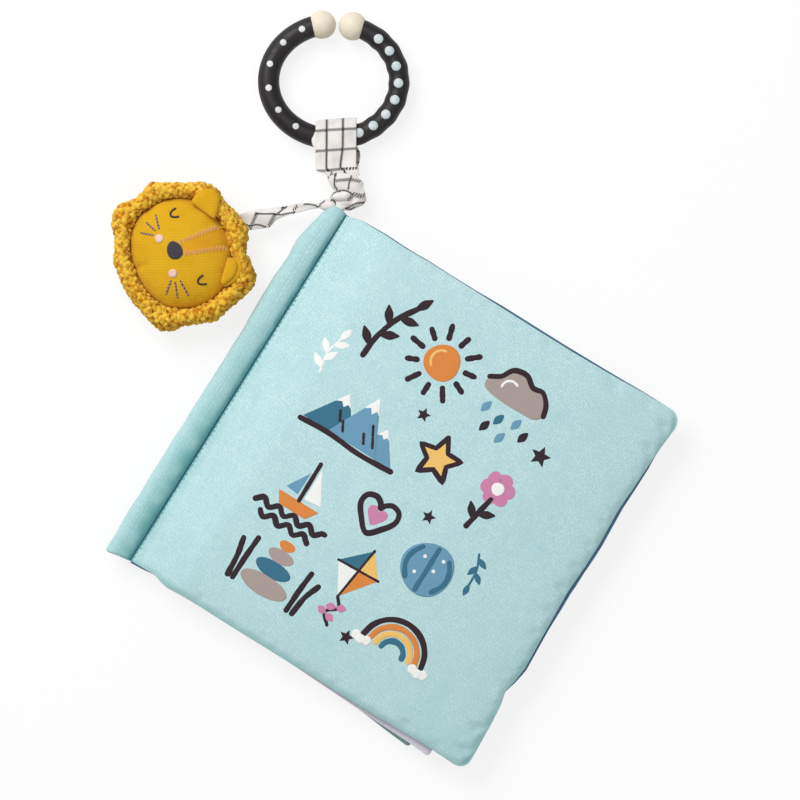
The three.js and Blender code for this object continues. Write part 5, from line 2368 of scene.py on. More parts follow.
@dataclass
class LionStrap:
    """Twisted tape from the knot to the lion's mane."""

    thick: float = 1.3 * MM
    shares: Sequence[float] = (0.0, 0.08, 0.16, 0.29, 0.41, 0.52, 0.62, 0.69, 0.75, 0.89, 1.0)
    widths: Sequence[float] = (2.4, 1.8, 2.4, 3.6, 3.5, 4.2, 5.0, 6.6, 8.0, 8.0, 7.4)
    sways: Sequence[float] = (2.9, 2.5, 1.95, 1.45, 1.1, 0.8, 0.75, 1.2, 1.45, 0.6, 0.2)
    twists: Sequence[float] = (0.5, 0.4, 0.25, 0.1, 0.0, -0.1, -0.15, -0.15, -0.12, -0.12, -0.12)
    lines: Sequence[Points] = (
        ((-36.3, -7.4), (-37.8, -10.6), (-39.5, -14.7)),
        ((-29.0, -7.8), (-30.4, -10.2), (-31.8, -12.8)),
        ((-22.1, -6.8), (-21.1, -5.6), (-20.2, -4.4)),
        ((-28.1, -7.4), (-26.6, -6.3), (-25.2, -4.9)),
        ((-36.5, -7.2), (-34.4, -7.4), (-32.0, -7.5), (-30.4, -7.3), (-28.0, -7.6), (-26.1, -7.8),
         (-24.2, -7.3), (-22.2, -6.9),
         (-20.4, -7.0)),
        ((-40.6, -11.9), (-38.4, -12.1), (-36.4, -11.6), (-35.0, -11.8), (-33.4, -12.4),
         (-31.9, -13.0)),
        ((-26.2, -4.8), (-25.0, -4.9), (-24.2, -4.7)),
        ((-17.2, -3.5), (-15.4, -3.5), (-14.0, -3.7), (-12.6, -4.0), (-11.4, -4.6), (-10.6, -5.1)),
    )

    def build(self) -> Piece:
        """Builds and dresses the strap.

        Returns:
            The piece.
        """
        start, end = np.array(LION_STRAP_START), np.array(LION_STRAP_END)
        step = end - start
        length = float(np.hypot(*step))
        run = step / length
        side = np.array([-run[1], run[0]])
        count, around = 70, 25

        def point(u: np.ndarray, v: np.ndarray) -> np.ndarray:
            """Places points of the tape.

            Args:
                u: Shares round it.
                v: Shares along it.

            Returns:
                The places.
            """
            turn = math.tau * u
            c, s = np.cos(turn), np.sin(turn)
            share = 1.14 * v
            half = np.interp(share, self.shares, self.widths) * MM / 2
            twist = np.interp(share, self.shares, self.twists) * 1.5
            reach = length * (0.012 + 0.986 * share)
            x = bulged(c, 0.7) * half
            t = bulged(s, 0.7) * self.thick / 2
            fold = 0.5 * MM * np.cos(2.2 * x / half + 9 * share)
            h = t + fold
            bow = np.interp(share, self.shares, self.sways) * MM
            across = x * np.cos(twist) - h * np.sin(twist) + bow
            up = x * np.sin(twist) + h * np.cos(twist)
            px = start[0] + run[0] * reach + side[0] * across
            py = start[1] + run[1] * reach + side[1] * across
            level = KNOT_CENTRE[2] + up + 0.4 * MM * np.sin(math.pi * share)
            return np.stack([px, py, level], axis=1)

        piece = cloth_grid("lion_strap_tape", even(around), even(count), point, (13 * MM, length))
        close_tape(piece)
        skin, near, far = Drape(piece), end - run * 3.0 * MM, end + run * 2.0 * MM
        span = (Body.LION_HEAD, (*near.tolist(), KNOT_CENTRE[2]), (*far.tolist(), KNOT_CENTRE[2]))
        woven_check("lion_strap_woven_lines", skin, self.lines, (0, 1, 2), (1.0, -1.0),
                    Body.LION_STRAP, span)
        return dress(piece, make(PLAIN_TAPE), Body.LION_STRAP, "checked_tape", ["lion_strap"], span)


# ---------------------------------------------------------------- lion head


@dataclass(frozen=True)
class MustardFinish(Finish):
    """Mustard cotton with fine ribs."""

    name: str = "mustard_ribbed_cloth"
    colour: Colour = (226, 178, 36)
    shade: Colour = (196, 142, 18)

    def make(self) -> Material:
        """Builds the material.

        Returns:
            The material.
        """
        m = Shade(self.name)
        at = m.mapped(m.coords(), turn=58.0)
        ribs = m.wave(at, RIB_UNIT / (0.62 * MM), "X", 0.8)
        cross = m.wave(at, RIB_UNIT / (0.4 * MM), "Y", 0.6)
        weave = m.sum("ADD", m.times(ribs, 0.75), m.times(cross, 0.25))
        patches = m.noise(at, 90.0, 3.0, 0.6)
        tone = m.mix(m.ramp(patches, 0.3, 0.8, (0.0, 0.45)), self.colour, self.shade)
        m.fix(Base_Color=m.mix(m.ramp(weave, 0.1, 0.7, (0.5, 0.0)), tone, self.shade))
        m.fix(Roughness=0.95, Sheen_Weight=0.08, Specular_IOR_Level=0.1)
        m.bump(weave, 0.12 * MM, 0.8)
        return m.material


@dataclass(frozen=True)
class BoucleFinish(Finish):
    """Curly mustard yarn; noise at the size of a loop mixes a pale tone and a deep brown, as
    painted highlights and painted shade.
    """

    name: str = "mustard_boucle_yarn"
    # colour is the pale tone of the painted highlights; shade is the deep brown of the painted
    # shade and of the fibres.
    colour: Colour = (249, 208, 70)
    shade: Colour = (194, 118, 10)

    def make(self) -> Material:
        """Builds the material.

        Returns:
            The material.
        """
        m = Shade(self.name)
        at = m.coords()
        # Loop-sized noise that places the painted highlights and painted shade.
        highlight_and_shade = m.noise(at, 420.0, 2.0, 0.6)
        fibre = m.wave(m.mapped(at, turn=40.0), RIB_UNIT / (0.3 * MM), "X", 5.0)
        tone = m.mix(m.ramp(highlight_and_shade, 0.3, 0.62), self.shade, self.colour)
        m.fix(Base_Color=m.mix(m.ramp(fibre, 0.0, 0.6, (0.34, 0.0)), tone, self.shade))
        m.fix(Roughness=0.95, Sheen_Weight=0.1, Specular_IOR_Level=0.1)
        m.bump(fibre, 0.1 * MM, 0.8)
        return m.material


MUSTARD = MustardFinish()
MUSTARD_EAR = MustardFinish("mustard_ear_cloth", (224, 172, 34), (198, 142, 18))
BOUCLE = BoucleFinish()
# The backing under the yarn is deep brown as painted shade in the gaps between the loops.
BOUCLE_GAP_SHADE = ClothFinish("mane_backing_gap_shade", (170, 104, 16), (130, 76, 10), sheen=0.05)
OCHRE = ClothFinish("ochre_forehead_cloth", (222, 164, 32), (200, 138, 20), rib=0.5 * MM,
                    turn=-LION_TURN, sheen=0.05)
NOSE_THREAD = ThreadFinish("slate_nose_thread", (74, 66, 76), (40, 36, 44), strand=0.36 * MM,
                           turn=30.0)
EYE_THREAD = ThreadFinish("dark_eye_thread", (66, 46, 34), (34, 24, 20), strand=0.4 * MM)
WHISKER_THREAD = ThreadFinish("mauve_whisker_thread", (176, 146, 148), (132, 104, 106),
                              strand=0.5 * MM, turn=20.0)
PEACH_THREAD = ThreadFinish("peach_zigzag_thread", (238, 184, 120), (208, 140, 66),
                            strand=0.34 * MM, turn=60.0)
CHEEK_THREAD = ThreadFinish("pink_cheek_thread", (247, 214, 203), (228, 180, 168), strand=0.4 * MM,
                            turn=15.0)


@dataclass
class LionHead:
    """Stuffed lion head: face, back, curly mane, two ears and sewn features."""

    face_shift: Point = (0.6, -0.25)
    half_width: float = 22.7 * MM
    half_height: float = 20.0 * MM
    face_level: float = 10.2 * MM
    face_crown: float = 11.5 * MM
    back_crown: float = 10.1 * MM
    fullness: float = 0.8
    creases: Sequence[tuple[float, float, float]] = (
        (-93.0, 0.55, 1.7), (47.0, 0.68, 1.5), (-162.0, 0.7, 0.7), (66.0, 0.8, 0.6),
        (-128.0, 0.8, 0.4), (102.0, 0.8, 0.5), (150.0, 0.82, 0.4),
        (-30.0, 0.8, 0.5))
    mane_level: float = 9.0 * MM
    mane_half: float = 9.5 * MM
    mane: Sequence[float] = (
        29.2, 29.5, 28.8, 28.6, 29.4, 30.6, 31.4, 29.9, 27.5, 25.1, 25.4, 27.0,
        27.8, 27.3, 27.3, 26.4, 26.8, 28.5, 29.4, 29.2, 28.3, 27.8, 27.8, 28.8,
        30.4, 29.4, 27.9, 28.9, 31.4, 31.3, 29.6, 27.0, 26.4, 26.4, 27.0, 26.1,
        25.8, 26.3, 26.6, 27.2, 27.3, 28.3, 30.0, 31.3, 30.9, 28.8, 28.0, 28.6)

    def place(self, x: np.ndarray, y: np.ndarray, z: np.ndarray) -> np.ndarray:
        """Turns the head's own coordinates into places."""
        gx, gy = turned(x, y, LION_TURN)
        return np.stack([gx + LION_CENTRE[0], gy + LION_CENTRE[1], z], axis=1)

    def own(self, points: Points) -> np.ndarray:
        """Turns millimetres right and up of the face's centre into plane places.

        Args:
            points: Places in millimetres.

        Returns:
            The places.
        """
        flat = (np.array(points, dtype=float) + self.face_shift) * MM
        x, y = turned(flat[:, 0], flat[:, 1], LION_TURN)
        return np.stack([x + LION_CENTRE[0], y + LION_CENTRE[1]], axis=1)

    def cap(self, name: str, upward: bool) -> Piece:
        """Builds the face or the back as a closed padded dome.

        Args:
            name: Name of the piece.
            upward: True for the face.

        Returns:
            The piece.
        """
        rings = 40

        def point(u: np.ndarray, v: np.ndarray) -> np.ndarray:
            """Places points of the dome.

            Args:
                u: Shares round it.
                v: Shares along it.

            Returns:
                The places.
            """
            turn = math.tau * u
            dome = v <= 0.8
            polar = np.where(dome, v / 0.8, 1.0) * math.pi / 2
            inner = np.where(dome, 1.0, (1 - v) / 0.2)
            out = np.sin(polar) ** self.fullness
            up = np.maximum(np.cos(polar), 0) ** self.fullness
            full = 1 + 0.035 * np.sin(2 * turn) ** 2
            x = np.cos(turn) * out * inner * full * self.half_width
            y = np.sin(turn) * out * inner * full * self.half_height
            rim = smooth((out - 0.55) / 0.45) * dome
            pleats = Ripple(61 if upward else 67, 0.9).at(3.1 * np.cos(turn), 3.1 * np.sin(turn))
            dip = 0.5 * pleats * rim
            for at, reach, deep in self.creases if upward else ():
                off = (np.degrees(turn) - at + 180.0) % 360.0 - 180.0
                width = 2.2 + 2.6 * (1 - out)
                dip += deep * bell(off, width) * smooth((out - reach) / (0.96 - reach))
            crown = self.face_crown if upward else self.back_crown
            z = up * crown - dip * MM
            z = np.where(dome, z, 0.0)
            level = self.face_level + z if upward else self.face_level - z
            return self.place(x, y, np.maximum(level, 0.0))

        shares = np.concatenate([np.linspace(0, 0.8, rings), np.linspace(0.85, 1.0, 4)])
        return finish_mesh(cloth_grid(name, even(97), shares, point), 60.0)

    def mane_skin(self, angle: np.ndarray, turn: np.ndarray, shrink: float) -> tuple[np.ndarray,
                                                                                     ...]:
        """Gives the mane's surface.

        Args:
            angle: Angles round the head.
            turn: Angles round the mane's own section.
            shrink: How far under its full size.

        Returns:
            X, Y and level on the head's own axes.
        """
        inner = 1 / np.hypot(np.cos(angle) / self.half_width, np.sin(angle) / self.half_height)
        inner = inner * (1 + 0.03 * np.sin(2 * angle) ** 2) - 0.6 * MM
        spots = np.linspace(0, math.tau, len(self.mane) + 1)
        outer = np.interp(angle % (math.tau), spots, [*self.mane, self.mane[0]]) * MM + 0.3 * MM
        middle, half = (inner + outer) / 2, (outer - inner) / 2 - shrink
        c, s = np.cos(turn), np.sin(turn)
        out = middle + half * bulged(c, 0.85)
        level = self.mane_level + (self.mane_half - shrink) * bulged(s, 0.9)
        return out * np.cos(angle), out * np.sin(angle), level

    def mane_base(self) -> Piece:
        """Builds the cloth under the yarn; its deep brown is painted shade in the gaps between the
        loops.

        Returns:
            The piece.
        """
        def point(u: np.ndarray, v: np.ndarray) -> np.ndarray:
            """Places points of the mane's cloth."""
            x, y, z = self.mane_skin(math.tau * v, math.tau * u, 1.0 * MM)
            return self.place(x, y, np.maximum(z, 0.1 * MM))
        return finish_mesh(cloth_grid("lion_mane_backing", even(25), even(121), point))

    def mane_yarn(self) -> Piece:
        """Builds the yarn's loops, one small curl copied all over the mane.

        Returns:
            The piece.
        """
        draw = np.random.default_rng(5)
        one = bead(8, 6)
        curl = corners(one) * np.array([2.3, 1.22, 1.2])
        curl[:, 2] -= 0.24 * curl[:, 0] ** 2
        places = []
        rows, columns = 13, 57
        for k in range(rows):
            turn = -0.55 * math.pi + (k + 0.5) / rows * 1.5 * math.pi
            for i in range(columns):
                angle = math.tau * (i + 0.5 * (k % 2) + draw.uniform(-0.18, 0.18)) / columns
                a = np.array([angle, angle + 0.01, angle])
                t = np.array([turn, turn, turn + 0.02]) + draw.uniform(-0.05, 0.05)
                x, y, z = self.mane_skin(a, t, 0.75 * MM)
                p = np.stack([x, y, z], axis=1)
                along, over = p[1] - p[0], p[2] - p[0]
                along /= np.linalg.norm(along)
                over /= np.linalg.norm(over)
                out = np.cross(along, over)
                out /= np.linalg.norm(out)
                if p[0, 2] < 1.2 * MM:
                    continue
                lean = math.radians((38 if k % 2 else -38) + draw.uniform(-14, 14))
                first = along * math.cos(lean) + over * math.sin(lean)
                second = np.cross(out, first)
                size = draw.uniform(0.85, 1.12) * MM
                tip = draw.uniform(-0.1, 0.4) * MM
                shape = (curl[:, :1] * first + curl[:, 1:2] * second + curl[:, 2:] * out) * size
                loop = p[0] + out * tip + shape
                places.append(self.place(loop[:, 0], loop[:, 1], np.maximum(loop[:, 2], 0.05 * MM)))
        log.info("mane: %d loops of yarn", len(places))
        return copies(one, "lion_mane_yarn", places)

    def sew(self, name: str, pieces: Sequence[Piece], finish: Finish) -> Piece:
        """Joins sewn pieces of the face into one and dresses it."""
        return dress(join(name, pieces), make(finish), Body.LION_HEAD, "mustard_cloth")

    def features(self, skin: Drape) -> None:
        """Sews the face's features.

        Args:
            skin: The face's skin.
        """
        satin = Patch(0.42 * MM, 0.3 * MM, 0.35)
        thread = Patch(0.4 * MM, 0.25 * MM)
        turn = circle(40)
        right, up = np.cos(turn), np.sin(turn)
        nose = self.own([(-2.3 + 3.75 * r, -1.4 + 3.1 * u * (1 + 0.16 * r)) for r,
                         u in zip(right, up)])
        centre = tuple(self.own([(-2.3, -1.4)])[0])
        self.sew("lion_nose_stitching", [satin.fill("nose", skin, nose, centre)], NOSE_THREAD)
        cheeks = []
        for i, (x, y) in enumerate(((-9.0, -5.3), (5.9, -5.6))):
            dot = self.own([(x + 1.68 * r, y + 1.68 * u) for r, u in zip(right, up)])
            cheeks.append(satin.fill(f"cheek_{i}", skin, dot, tuple(self.own([(x, y)])[0])))
        self.sew("lion_cheek_stitching", cheeks, CHEEK_THREAD)
        eyes = []
        for i, x in enumerate((-15.9, 13.0)):
            bend = np.linspace(math.pi + 0.1, math.tau - 0.1, 15)
            arc = self.own([(x + 1.75 * math.cos(b), 5.3 + 3.0 * math.sin(b)) for b in bend])
            eyes.append(thread.stroke(f"eye_{i}", skin, arc, 0.8 * MM))
        self.sew("lion_eye_stitching", eyes, EYE_THREAD)
        hairs, under = [], []
        for i, (a, b) in enumerate((((-13.9, -11.4), (-11.2, -7.2)), ((-16.8, -7.7), (-12.5, -5.7)),
                                    ((-18.2, -3.1), (-12.5, -4.0)), ((8.4, -7.4), (12.5, -11.3)),
                                    ((9.7, -6.1), (15.5, -7.6)), ((9.8, -4.0), (16.3, -3.2)))):
            start, step = np.array(a), np.array(b) - np.array(a)
            across = np.array([-step[1], step[0]]) / np.hypot(*step)
            whole = self.own([start + step * t for t in (0.03, 0.35, 0.65, 0.97)])
            under.append(Patch(0.2 * MM, 0.25 * MM).stroke(f"whisker_under_{i}", skin, whole,
                                                           0.74 * MM))
            for k in range(4):
                ends = [start + step * (k + t) / 4 + across * (0.2 - 0.4 * t) for t in (0.48, 0.6,
                                                                                        0.72)]
                hairs.append(thread.stroke(f"whisker_{i}_{k}", skin, self.own(ends), 0.7 * MM))
        self.sew("lion_whisker_stitching", hairs, WHISKER_THREAD)
        self.sew("lion_whisker_under_thread", under, EYE_THREAD)
        self.forehead(skin)

    def forehead(self, skin: Drape) -> None:
        """Sews the deeper strip on the forehead and the zigzag on both its edges.

        Args:
            skin: The skin that it lies on.
        """
        left = [(-4.4, 1.4), (-4.5, 7.0), (-4.6, 13.0), (-4.7, 18.6)]
        right = [(0.3, 1.2), (1.7, 7.0), (3.1, 13.0), (4.4, 18.3)]
        strip = Patch(0.12 * MM, 0.2 * MM)
        ups = np.linspace(1.6, 18.0, 24)
        edge_left = np.interp(ups, [p[1] for p in left], [p[0] for p in left])
        edge_right = np.interp(ups, [p[1] for p in right], [p[0] for p in right])
        middle = self.own(list(zip((edge_left + edge_right) / 2, ups)))
        widths = (edge_right - edge_left) * MM
        piece = strip.stroke("strip", skin, middle, widths, around=24)
        self.sew("lion_forehead_strip", [piece], OCHRE)
        rows = []
        thread = Patch(0.34 * MM, 0.2 * MM)
        for name, edge in (("left", left), ("right", right)):
            ups = np.arange(1.3, 18.4, 0.66)
            base = np.interp(ups, [p[1] for p in edge], [p[0] for p in edge])
            sway = np.where(np.arange(len(ups)) % 2, 1.0, -1.0)
            path = self.own(dense(list(zip(base + sway, ups)), 0.45, False))
            rows.append(thread.stroke(f"zigzag_{name}", skin, path, 0.44 * MM, around=6))
        self.sew("lion_zigzag_stitching", rows, PEACH_THREAD)

    def build(self) -> None:
        """Builds and dresses the head."""
        face = self.cap("lion_face_sewn", True)
        dress(face, make(MUSTARD), Body.LION_HEAD, "mustard_cloth",
              ["lion_face_cloth", "lion_stuffing"])
        back = self.cap("lion_back_sewn", False)
        dress(back, make(MUSTARD), Body.LION_HEAD, "mustard_cloth", ["lion_back_cloth"])
        base = self.mane_base()
        # The deep brown backing is painted shade where the yarn's gaps show.
        dress(base, make(BOUCLE_GAP_SHADE), Body.LION_HEAD, "mane_boucle", ["lion_mane"])
        dress(self.mane_yarn(), make(BOUCLE), Body.LION_HEAD, "mane_boucle")
        left = Cushion(((-17.2, 11.2), (-19.8, 15.2), (-20.0, 19.2), (-18.0, 22.6), (-14.2, 22.9),
                        (-10.6, 21.0), (-6.9, 17.6)),
                       (-14.8, 17.4), 18.0, 2.9, 1.6, 0.35, 6, slope=(0.0, 0.05))
        right = Cushion(((9.0, 17.6), (11.9, 21.2), (14.9, 20.8), (17.9, 18.2), (19.3, 14.8),
                         (19.4, 10.8), (17.6, 10.6)),
                        (14.8, 17.0), 17.2, 2.2, 1.6, 0.3, 4)
        pad = Cushion(((8.7, 16.8), (11.4, 19.5), (14.0, 19.1), (16.6, 16.8), (17.9, 14.2),
                       (18.6, 10.8), (16.9, 10.2)),
                      (13.6, 15.8), 18.0, 2.7, 1.6, 0.35, 4)
        for name, node, forms in (("lion_left_ear_sewn", "lion_left_ear", [left]),
                                  ("lion_right_ear_sewn", "lion_right_ear", [right, pad])):
            parts = [form.build(f"{name}_{i}", LION_CENTRE, LION_TURN) for i,
                     form in enumerate(forms)]
            piece = dress(join(name, parts), make(MUSTARD_EAR), Body.LION_HEAD, "mustard_cloth",
                          [node])
        self.features(Drape(face))


# ---------------------------------------------------------------- cover print


class Ink(Enum):
    """Inks of the cover's print."""

    DARK = InkFinish("dark_print_ink", (50, 36, 42), (82, 72, 78))
    ORANGE = InkFinish("orange_print_ink", (222, 138, 70), (196, 108, 50))
    YELLOW = InkFinish("yellow_print_ink", (240, 196, 112), (222, 168, 84))
    TAUPE = InkFinish("taupe_print_ink", (172, 158, 152), (140, 126, 122))
    BLUE = InkFinish("blue_print_ink", (110, 158, 186), (78, 124, 156))
    TEAL = InkFinish("teal_print_ink", (62, 116, 140), (44, 88, 112))
    PINK = InkFinish("pink_print_ink", (208, 136, 172), (176, 100, 142))
    WHITE = InkFinish("white_print_ink", (244, 244, 240), (216, 224, 224))


@dataclass
class CoverPrint:
    """Picture print on the front cover: weather, hills, a boat and plants in brush strokes.

    All its places are in millimetres, across the cover and up it.

    Attributes:
        skin: The front cover's cloth.
        brush: Width of a brush stroke in millimetres.
        made: Painted pieces of each ink.
    """

    skin: Drape
    brush: float = 2.3
    made: dict[Ink, list[Piece]] = field(default_factory=dict)

    def keep(self, ink: Ink, piece: Piece) -> None:
        """Adds a piece to its ink."""
        self.made.setdefault(ink, []).append(piece)

    def line(self, ink: Ink, points: Points, wide: float = 1.0, closed: bool = False,
             curved: bool = True,
             layer: int = 2) -> None:
        """Paints a stroke.

        Args:
            ink: Its ink.
            points: Places that it runs through.
            wide: Width as a share of the brush.
            closed: Whether it comes back to its start.
            curved: Whether it is smooth at its places.
            layer: Ink layers under it.
        """
        if curved:
            run = spline(points, closed)
        else:
            run = dense(points, 1.0, closed)
        if closed:
            run = np.vstack([run, run[:1]])
        share = even(len(run))
        uneven = 1.0 + 0.07 * np.sin(9.0 * share + points[0][0]) + 0.04 * np.sin(23.0 * share)
        width = self.brush * wide * uneven
        patch = Patch((0.05 + 0.03 * layer) * MM, 0.14 * MM)
        self.keep(ink, patch.stroke("stroke", self.skin, run * MM, width * MM, around=8))

    def shape(self, ink: Ink, points: Points, centre: Point | None = None, curved: bool = True,
              layer: int = 0) -> None:
        """Paints a filled shape.

        Args:
            ink: Its ink.
            points: Places round it.
            centre: A place that sees all its edge, or its middle.
            curved: Whether its edge is smooth.
            layer: Ink layers under it.
        """
        edge = spline(points, True, 6) if curved else dense(points, 1.0)
        middle = np.array(centre) if centre else edge.mean(axis=0)
        patch = Patch((0.05 + 0.03 * layer) * MM, 0.14 * MM)
        self.keep(ink, patch.fill("shape", self.skin, edge * MM, tuple(middle * MM)))

    def disc(self, ink: Ink, x: float, y: float, radius: float, layer: int = 0) -> None:
        """Paints a disc with a hand-cut edge.

        Args:
            ink: Its ink.
            x: Its place across the cover.
            y: Its place up the cover.
            radius: Its radius.
            layer: Ink layers under it.
        """
        angle = circle(14)
        reach = radius * (1 + 0.03 * np.sin(3 * angle + x))
        self.shape(ink, list(zip(x + reach * np.cos(angle), y + reach * np.sin(angle))), (x, y),
                   layer=layer)

    def arc(self, ink: Ink, x: float, y: float, radius: float, first: float, last: float,
            wide: float = 1.0,
            layer: int = 2) -> None:
        """Paints a part of a circle."""
        angle = np.radians(np.linspace(first, last, 9))
        self.line(ink, list(zip(x + radius * np.cos(angle), y + radius * np.sin(angle))), wide,
                  layer=layer)

    def leaf(self, ink: Ink, x: float, y: float, length: float, width: float, degrees: float,
             layer: int = 2) -> None:
        """Paints a pointed leaf from its stalk.

        Args:
            ink: Its ink.
            x: Its place across the cover.
            y: Its place up the cover.
            length: Length of a leaf.
            width: Width of a leaf.
            degrees: Direction of the leaf.
            layer: Ink layers under it.
        """
        run = np.array([0, 0.25, 0.55, 0.85, 1.0, 0.85, 0.55, 0.25]) * length
        off = np.array([0, 0.36, 0.5, 0.24, 0, -0.24, -0.5, -0.36]) * width
        px, py = turned(run, off, degrees)
        self.shape(ink, list(zip(px + x, py + y)), layer=layer)

    def sprig(self, ink: Ink, stem: Points, leaves: Points, length: float, width: float,
              wide: float = 1.0) -> None:
        """Paints a stem with leaves at shares of its run.

        Args:
            ink: Its ink.
            stem: Places that the stem runs through.
            leaves: Share of the stem and turn in degrees of each leaf.
            length: Length of a leaf.
            width: Width of a leaf.
            wide: Width of its stroke as a share of the brush.
        """
        self.line(ink, stem, wide)
        run = spline(stem)
        for share, side in leaves:
            i = int(share * (len(run) - 1))
            step = run[min(i + 1, len(run) - 1)] - run[max(i - 1, 0)]
            turn = math.degrees(math.atan2(step[1], step[0]))
            self.leaf(ink, *run[i], length, width, turn + side)

    def sun(self, x: float, y: float) -> None:
        """Paints a sun with rays.

        Args:
            x: Its place across the cover.
            y: Its place up the cover.
        """
        self.disc(Ink.ORANGE, x, y, 7.4)
        self.arc(Ink.YELLOW, x - 0.4, y + 0.3, 4.4, 100, 230, 0.5)
        for i in range(11):
            a = math.radians(i * 360 / 11 + 8)
            near, far = 10.2, 14.0 + 1.2 * (i % 2)
            self.line(Ink.DARK, [(x + near * math.cos(a), y + near * math.sin(a)),
                                 (x + far * math.cos(a), y + far * math.sin(a))])

    def rain(self, x: float, y: float) -> None:
        """Paints a cloud with drops.

        Args:
            x: Its place across the cover.
            y: Its place up the cover.
        """
        cloud = [(-13, -3), (-13.5, 1.5), (-9.5, 4), (-6.5, 8.5), (-1, 9.5), (3.5, 6.6), (8, 7),
                 (11.6, 3.4), (13, -0.8), (10.5, -4), (4, -4.6),
                 (-5, -4.6)]
        self.shape(Ink.TAUPE, [(x + a, y + b) for a, b in cloud], (x, y))
        self.line(Ink.DARK, [(x + a, y + b) for a, b in cloud[1:9]])
        self.arc(Ink.WHITE, x - 4, y + 1.2, 3.4, 60, 190, 0.5, 3)
        for a, b, ink in ((-8.5, -9.5, Ink.BLUE), (-1.5, -11.5, Ink.TEAL), (5.5, -9.5, Ink.BLUE),
                          (10.5, -12.5, Ink.DARK),
                          (-5.0, -16.5, Ink.DARK), (2.6, -17.5, Ink.BLUE)):
            self.leaf(ink, x + a + 0.9, y + b + 2.8, 5.6, 3.2, -108)

    def hills(self, x: float, y: float) -> None:
        """Paints three peaks with snow.

        Args:
            x: Its place across the cover.
            y: Its place up the cover.
        """
        for a, high, half, ink in ((11.5, 13.0, 9.0, Ink.BLUE), (-9.0, 17.0, 11.5, Ink.TEAL),
                                   (2.2, 22.0, 11.0, Ink.BLUE)):
            layer = 1 if a == 2.2 else 0
            self.shape(ink, [(x + a - half, y), (x + a, y + high), (x + a + half, y)],
                       (x + a, y + high * 0.3),
                       False, layer)
            snow = [(0, high), (-0.3 * half, high * 0.7), (-0.1 * half, high * 0.76),
                    (0.04 * half, high * 0.66),
                    (0.16 * half, high * 0.76), (0.3 * half, high * 0.7)]
            self.shape(Ink.WHITE, [(x + a + p, y + q) for p, q in snow], (x + a, y + high * 0.84),
                       False, layer + 1)
        for a, b in ((5.6, 11.0), (8.0, 6.8), (4.0, 6.4), (-5.6, 6.2), (-8.8, 9.4)):
            self.line(Ink.DARK, [(x + a, y + b), (x + a + 1.9, y + b - 3.4)], 0.55, layer=4)
        self.line(Ink.DARK,
                  [(x - 21, y - 1.4), (x - 8, y - 0.6), (x + 6, y - 1.6), (x + 21, y - 0.8)])

    def star(self, x: float, y: float, reach: float, fill: bool) -> None:
        """Paints a five-pointed star.

        Args:
            x: Its place across the cover.
            y: Its place up the cover.
            reach: Distance of its tips from its middle.
            fill: Whether it is light with a dark edge.
        """
        angle = np.radians(np.arange(10) * 36.0 + 96.0)
        radius = np.where(np.arange(10) % 2, reach * 0.47, reach)
        tips = list(zip(x + radius * np.cos(angle), y + radius * np.sin(angle)))
        if fill:
            self.shape(Ink.YELLOW, tips, (x, y), False)
            self.line(Ink.DARK, tips, 0.95, closed=True, curved=False)
        else:
            self.shape(Ink.DARK, tips, (x, y), False)

    def flower(self, x: float, y: float) -> None:
        """Paints a flower with a bent stem.

        Args:
            x: Its place across the cover.
            y: Its place up the cover.
        """
        self.sprig(Ink.DARK, [(x - 3, y - 19), (x - 1.6, y - 12), (x - 0.2, y - 5)],
                   [(0.25, 48), (0.45, -52)], 7.4, 3.3)
        for i in range(6):
            a = math.radians(i * 60 + 15)
            self.disc(Ink.PINK, x + 4.3 * math.cos(a), y + 4.3 * math.sin(a), 2.9)
        self.disc(Ink.WHITE, x, y, 2.6, 3)

    def boat(self, x: float, y: float) -> None:
        """Paints a sailing boat on waves.

        Args:
            x: Its place across the cover.
            y: Its place up the cover.
        """
        self.shape(Ink.ORANGE, [(x - 9, y + 1), (x + 9.5, y + 1), (x + 6, y - 4), (x - 6, y - 4)],
                   curved=False)
        self.line(Ink.DARK, [(x + 0.2, y + 1.2), (x, y + 18)], 0.8)
        self.shape(Ink.WHITE, [(x + 1.8, y + 2.6), (x + 9, y + 3.4), (x + 1.6, y + 16.5)],
                   curved=False)
        self.shape(Ink.BLUE, [(x - 1.6, y + 3), (x - 7.2, y + 3.6), (x - 1.4, y + 13)],
                   curved=False)
        for row, (first, last) in enumerate(((-15, 17), (-11, 12))):
            run = np.arange(first, last, 1.2)
            self.line(Ink.DARK,
                      [(x + a, y - 6.2 - 4.4 * row + 1.25 * math.sin(a * 0.9)) for a in run])

    def heart(self, x: float, y: float) -> None:
        """Paints a heart with a thick edge.

        Args:
            x: Its place across the cover.
            y: Its place up the cover.
        """
        half = [(0, -8), (5, -3.4), (8, 1.2), (7.4, 5.2), (4, 6.6), (1.2, 5.2), (0, 3.2)]
        edge = half + [(-a, b) for a, b in half[-2:0:-1]]
        self.line(Ink.DARK, [(x + a, y + b) for a, b in edge], closed=True)
        self.shape(Ink.PINK, [(x + a * 0.52, y + b * 0.52 - 0.2) for a, b in edge], (x, y - 0.4))

    def ball(self, x: float, y: float) -> None:
        """Paints a striped ball.

        Args:
            x: Its place across the cover.
            y: Its place up the cover.
        """
        self.disc(Ink.BLUE, x, y, 10.8)
        for reach in (-6.2, 0.0, 6.2):
            bend = reach * 0.45
            high = math.sqrt(9.2**2 - reach**2)
            self.line(Ink.TEAL,
                      [(x + reach + bend * (1 - t * t), y + high * t) for t in (1, 0.6, 0.2, -0.2,
                                                                                -0.6, -1)],
                      1.0)
        for a, b in ((-3.4, 4.0), (-3.9, -3.4), (2.6, 0.6), (4.0, 6.0)):
            self.disc(Ink.WHITE, x + a, y + b, 0.75, 3)

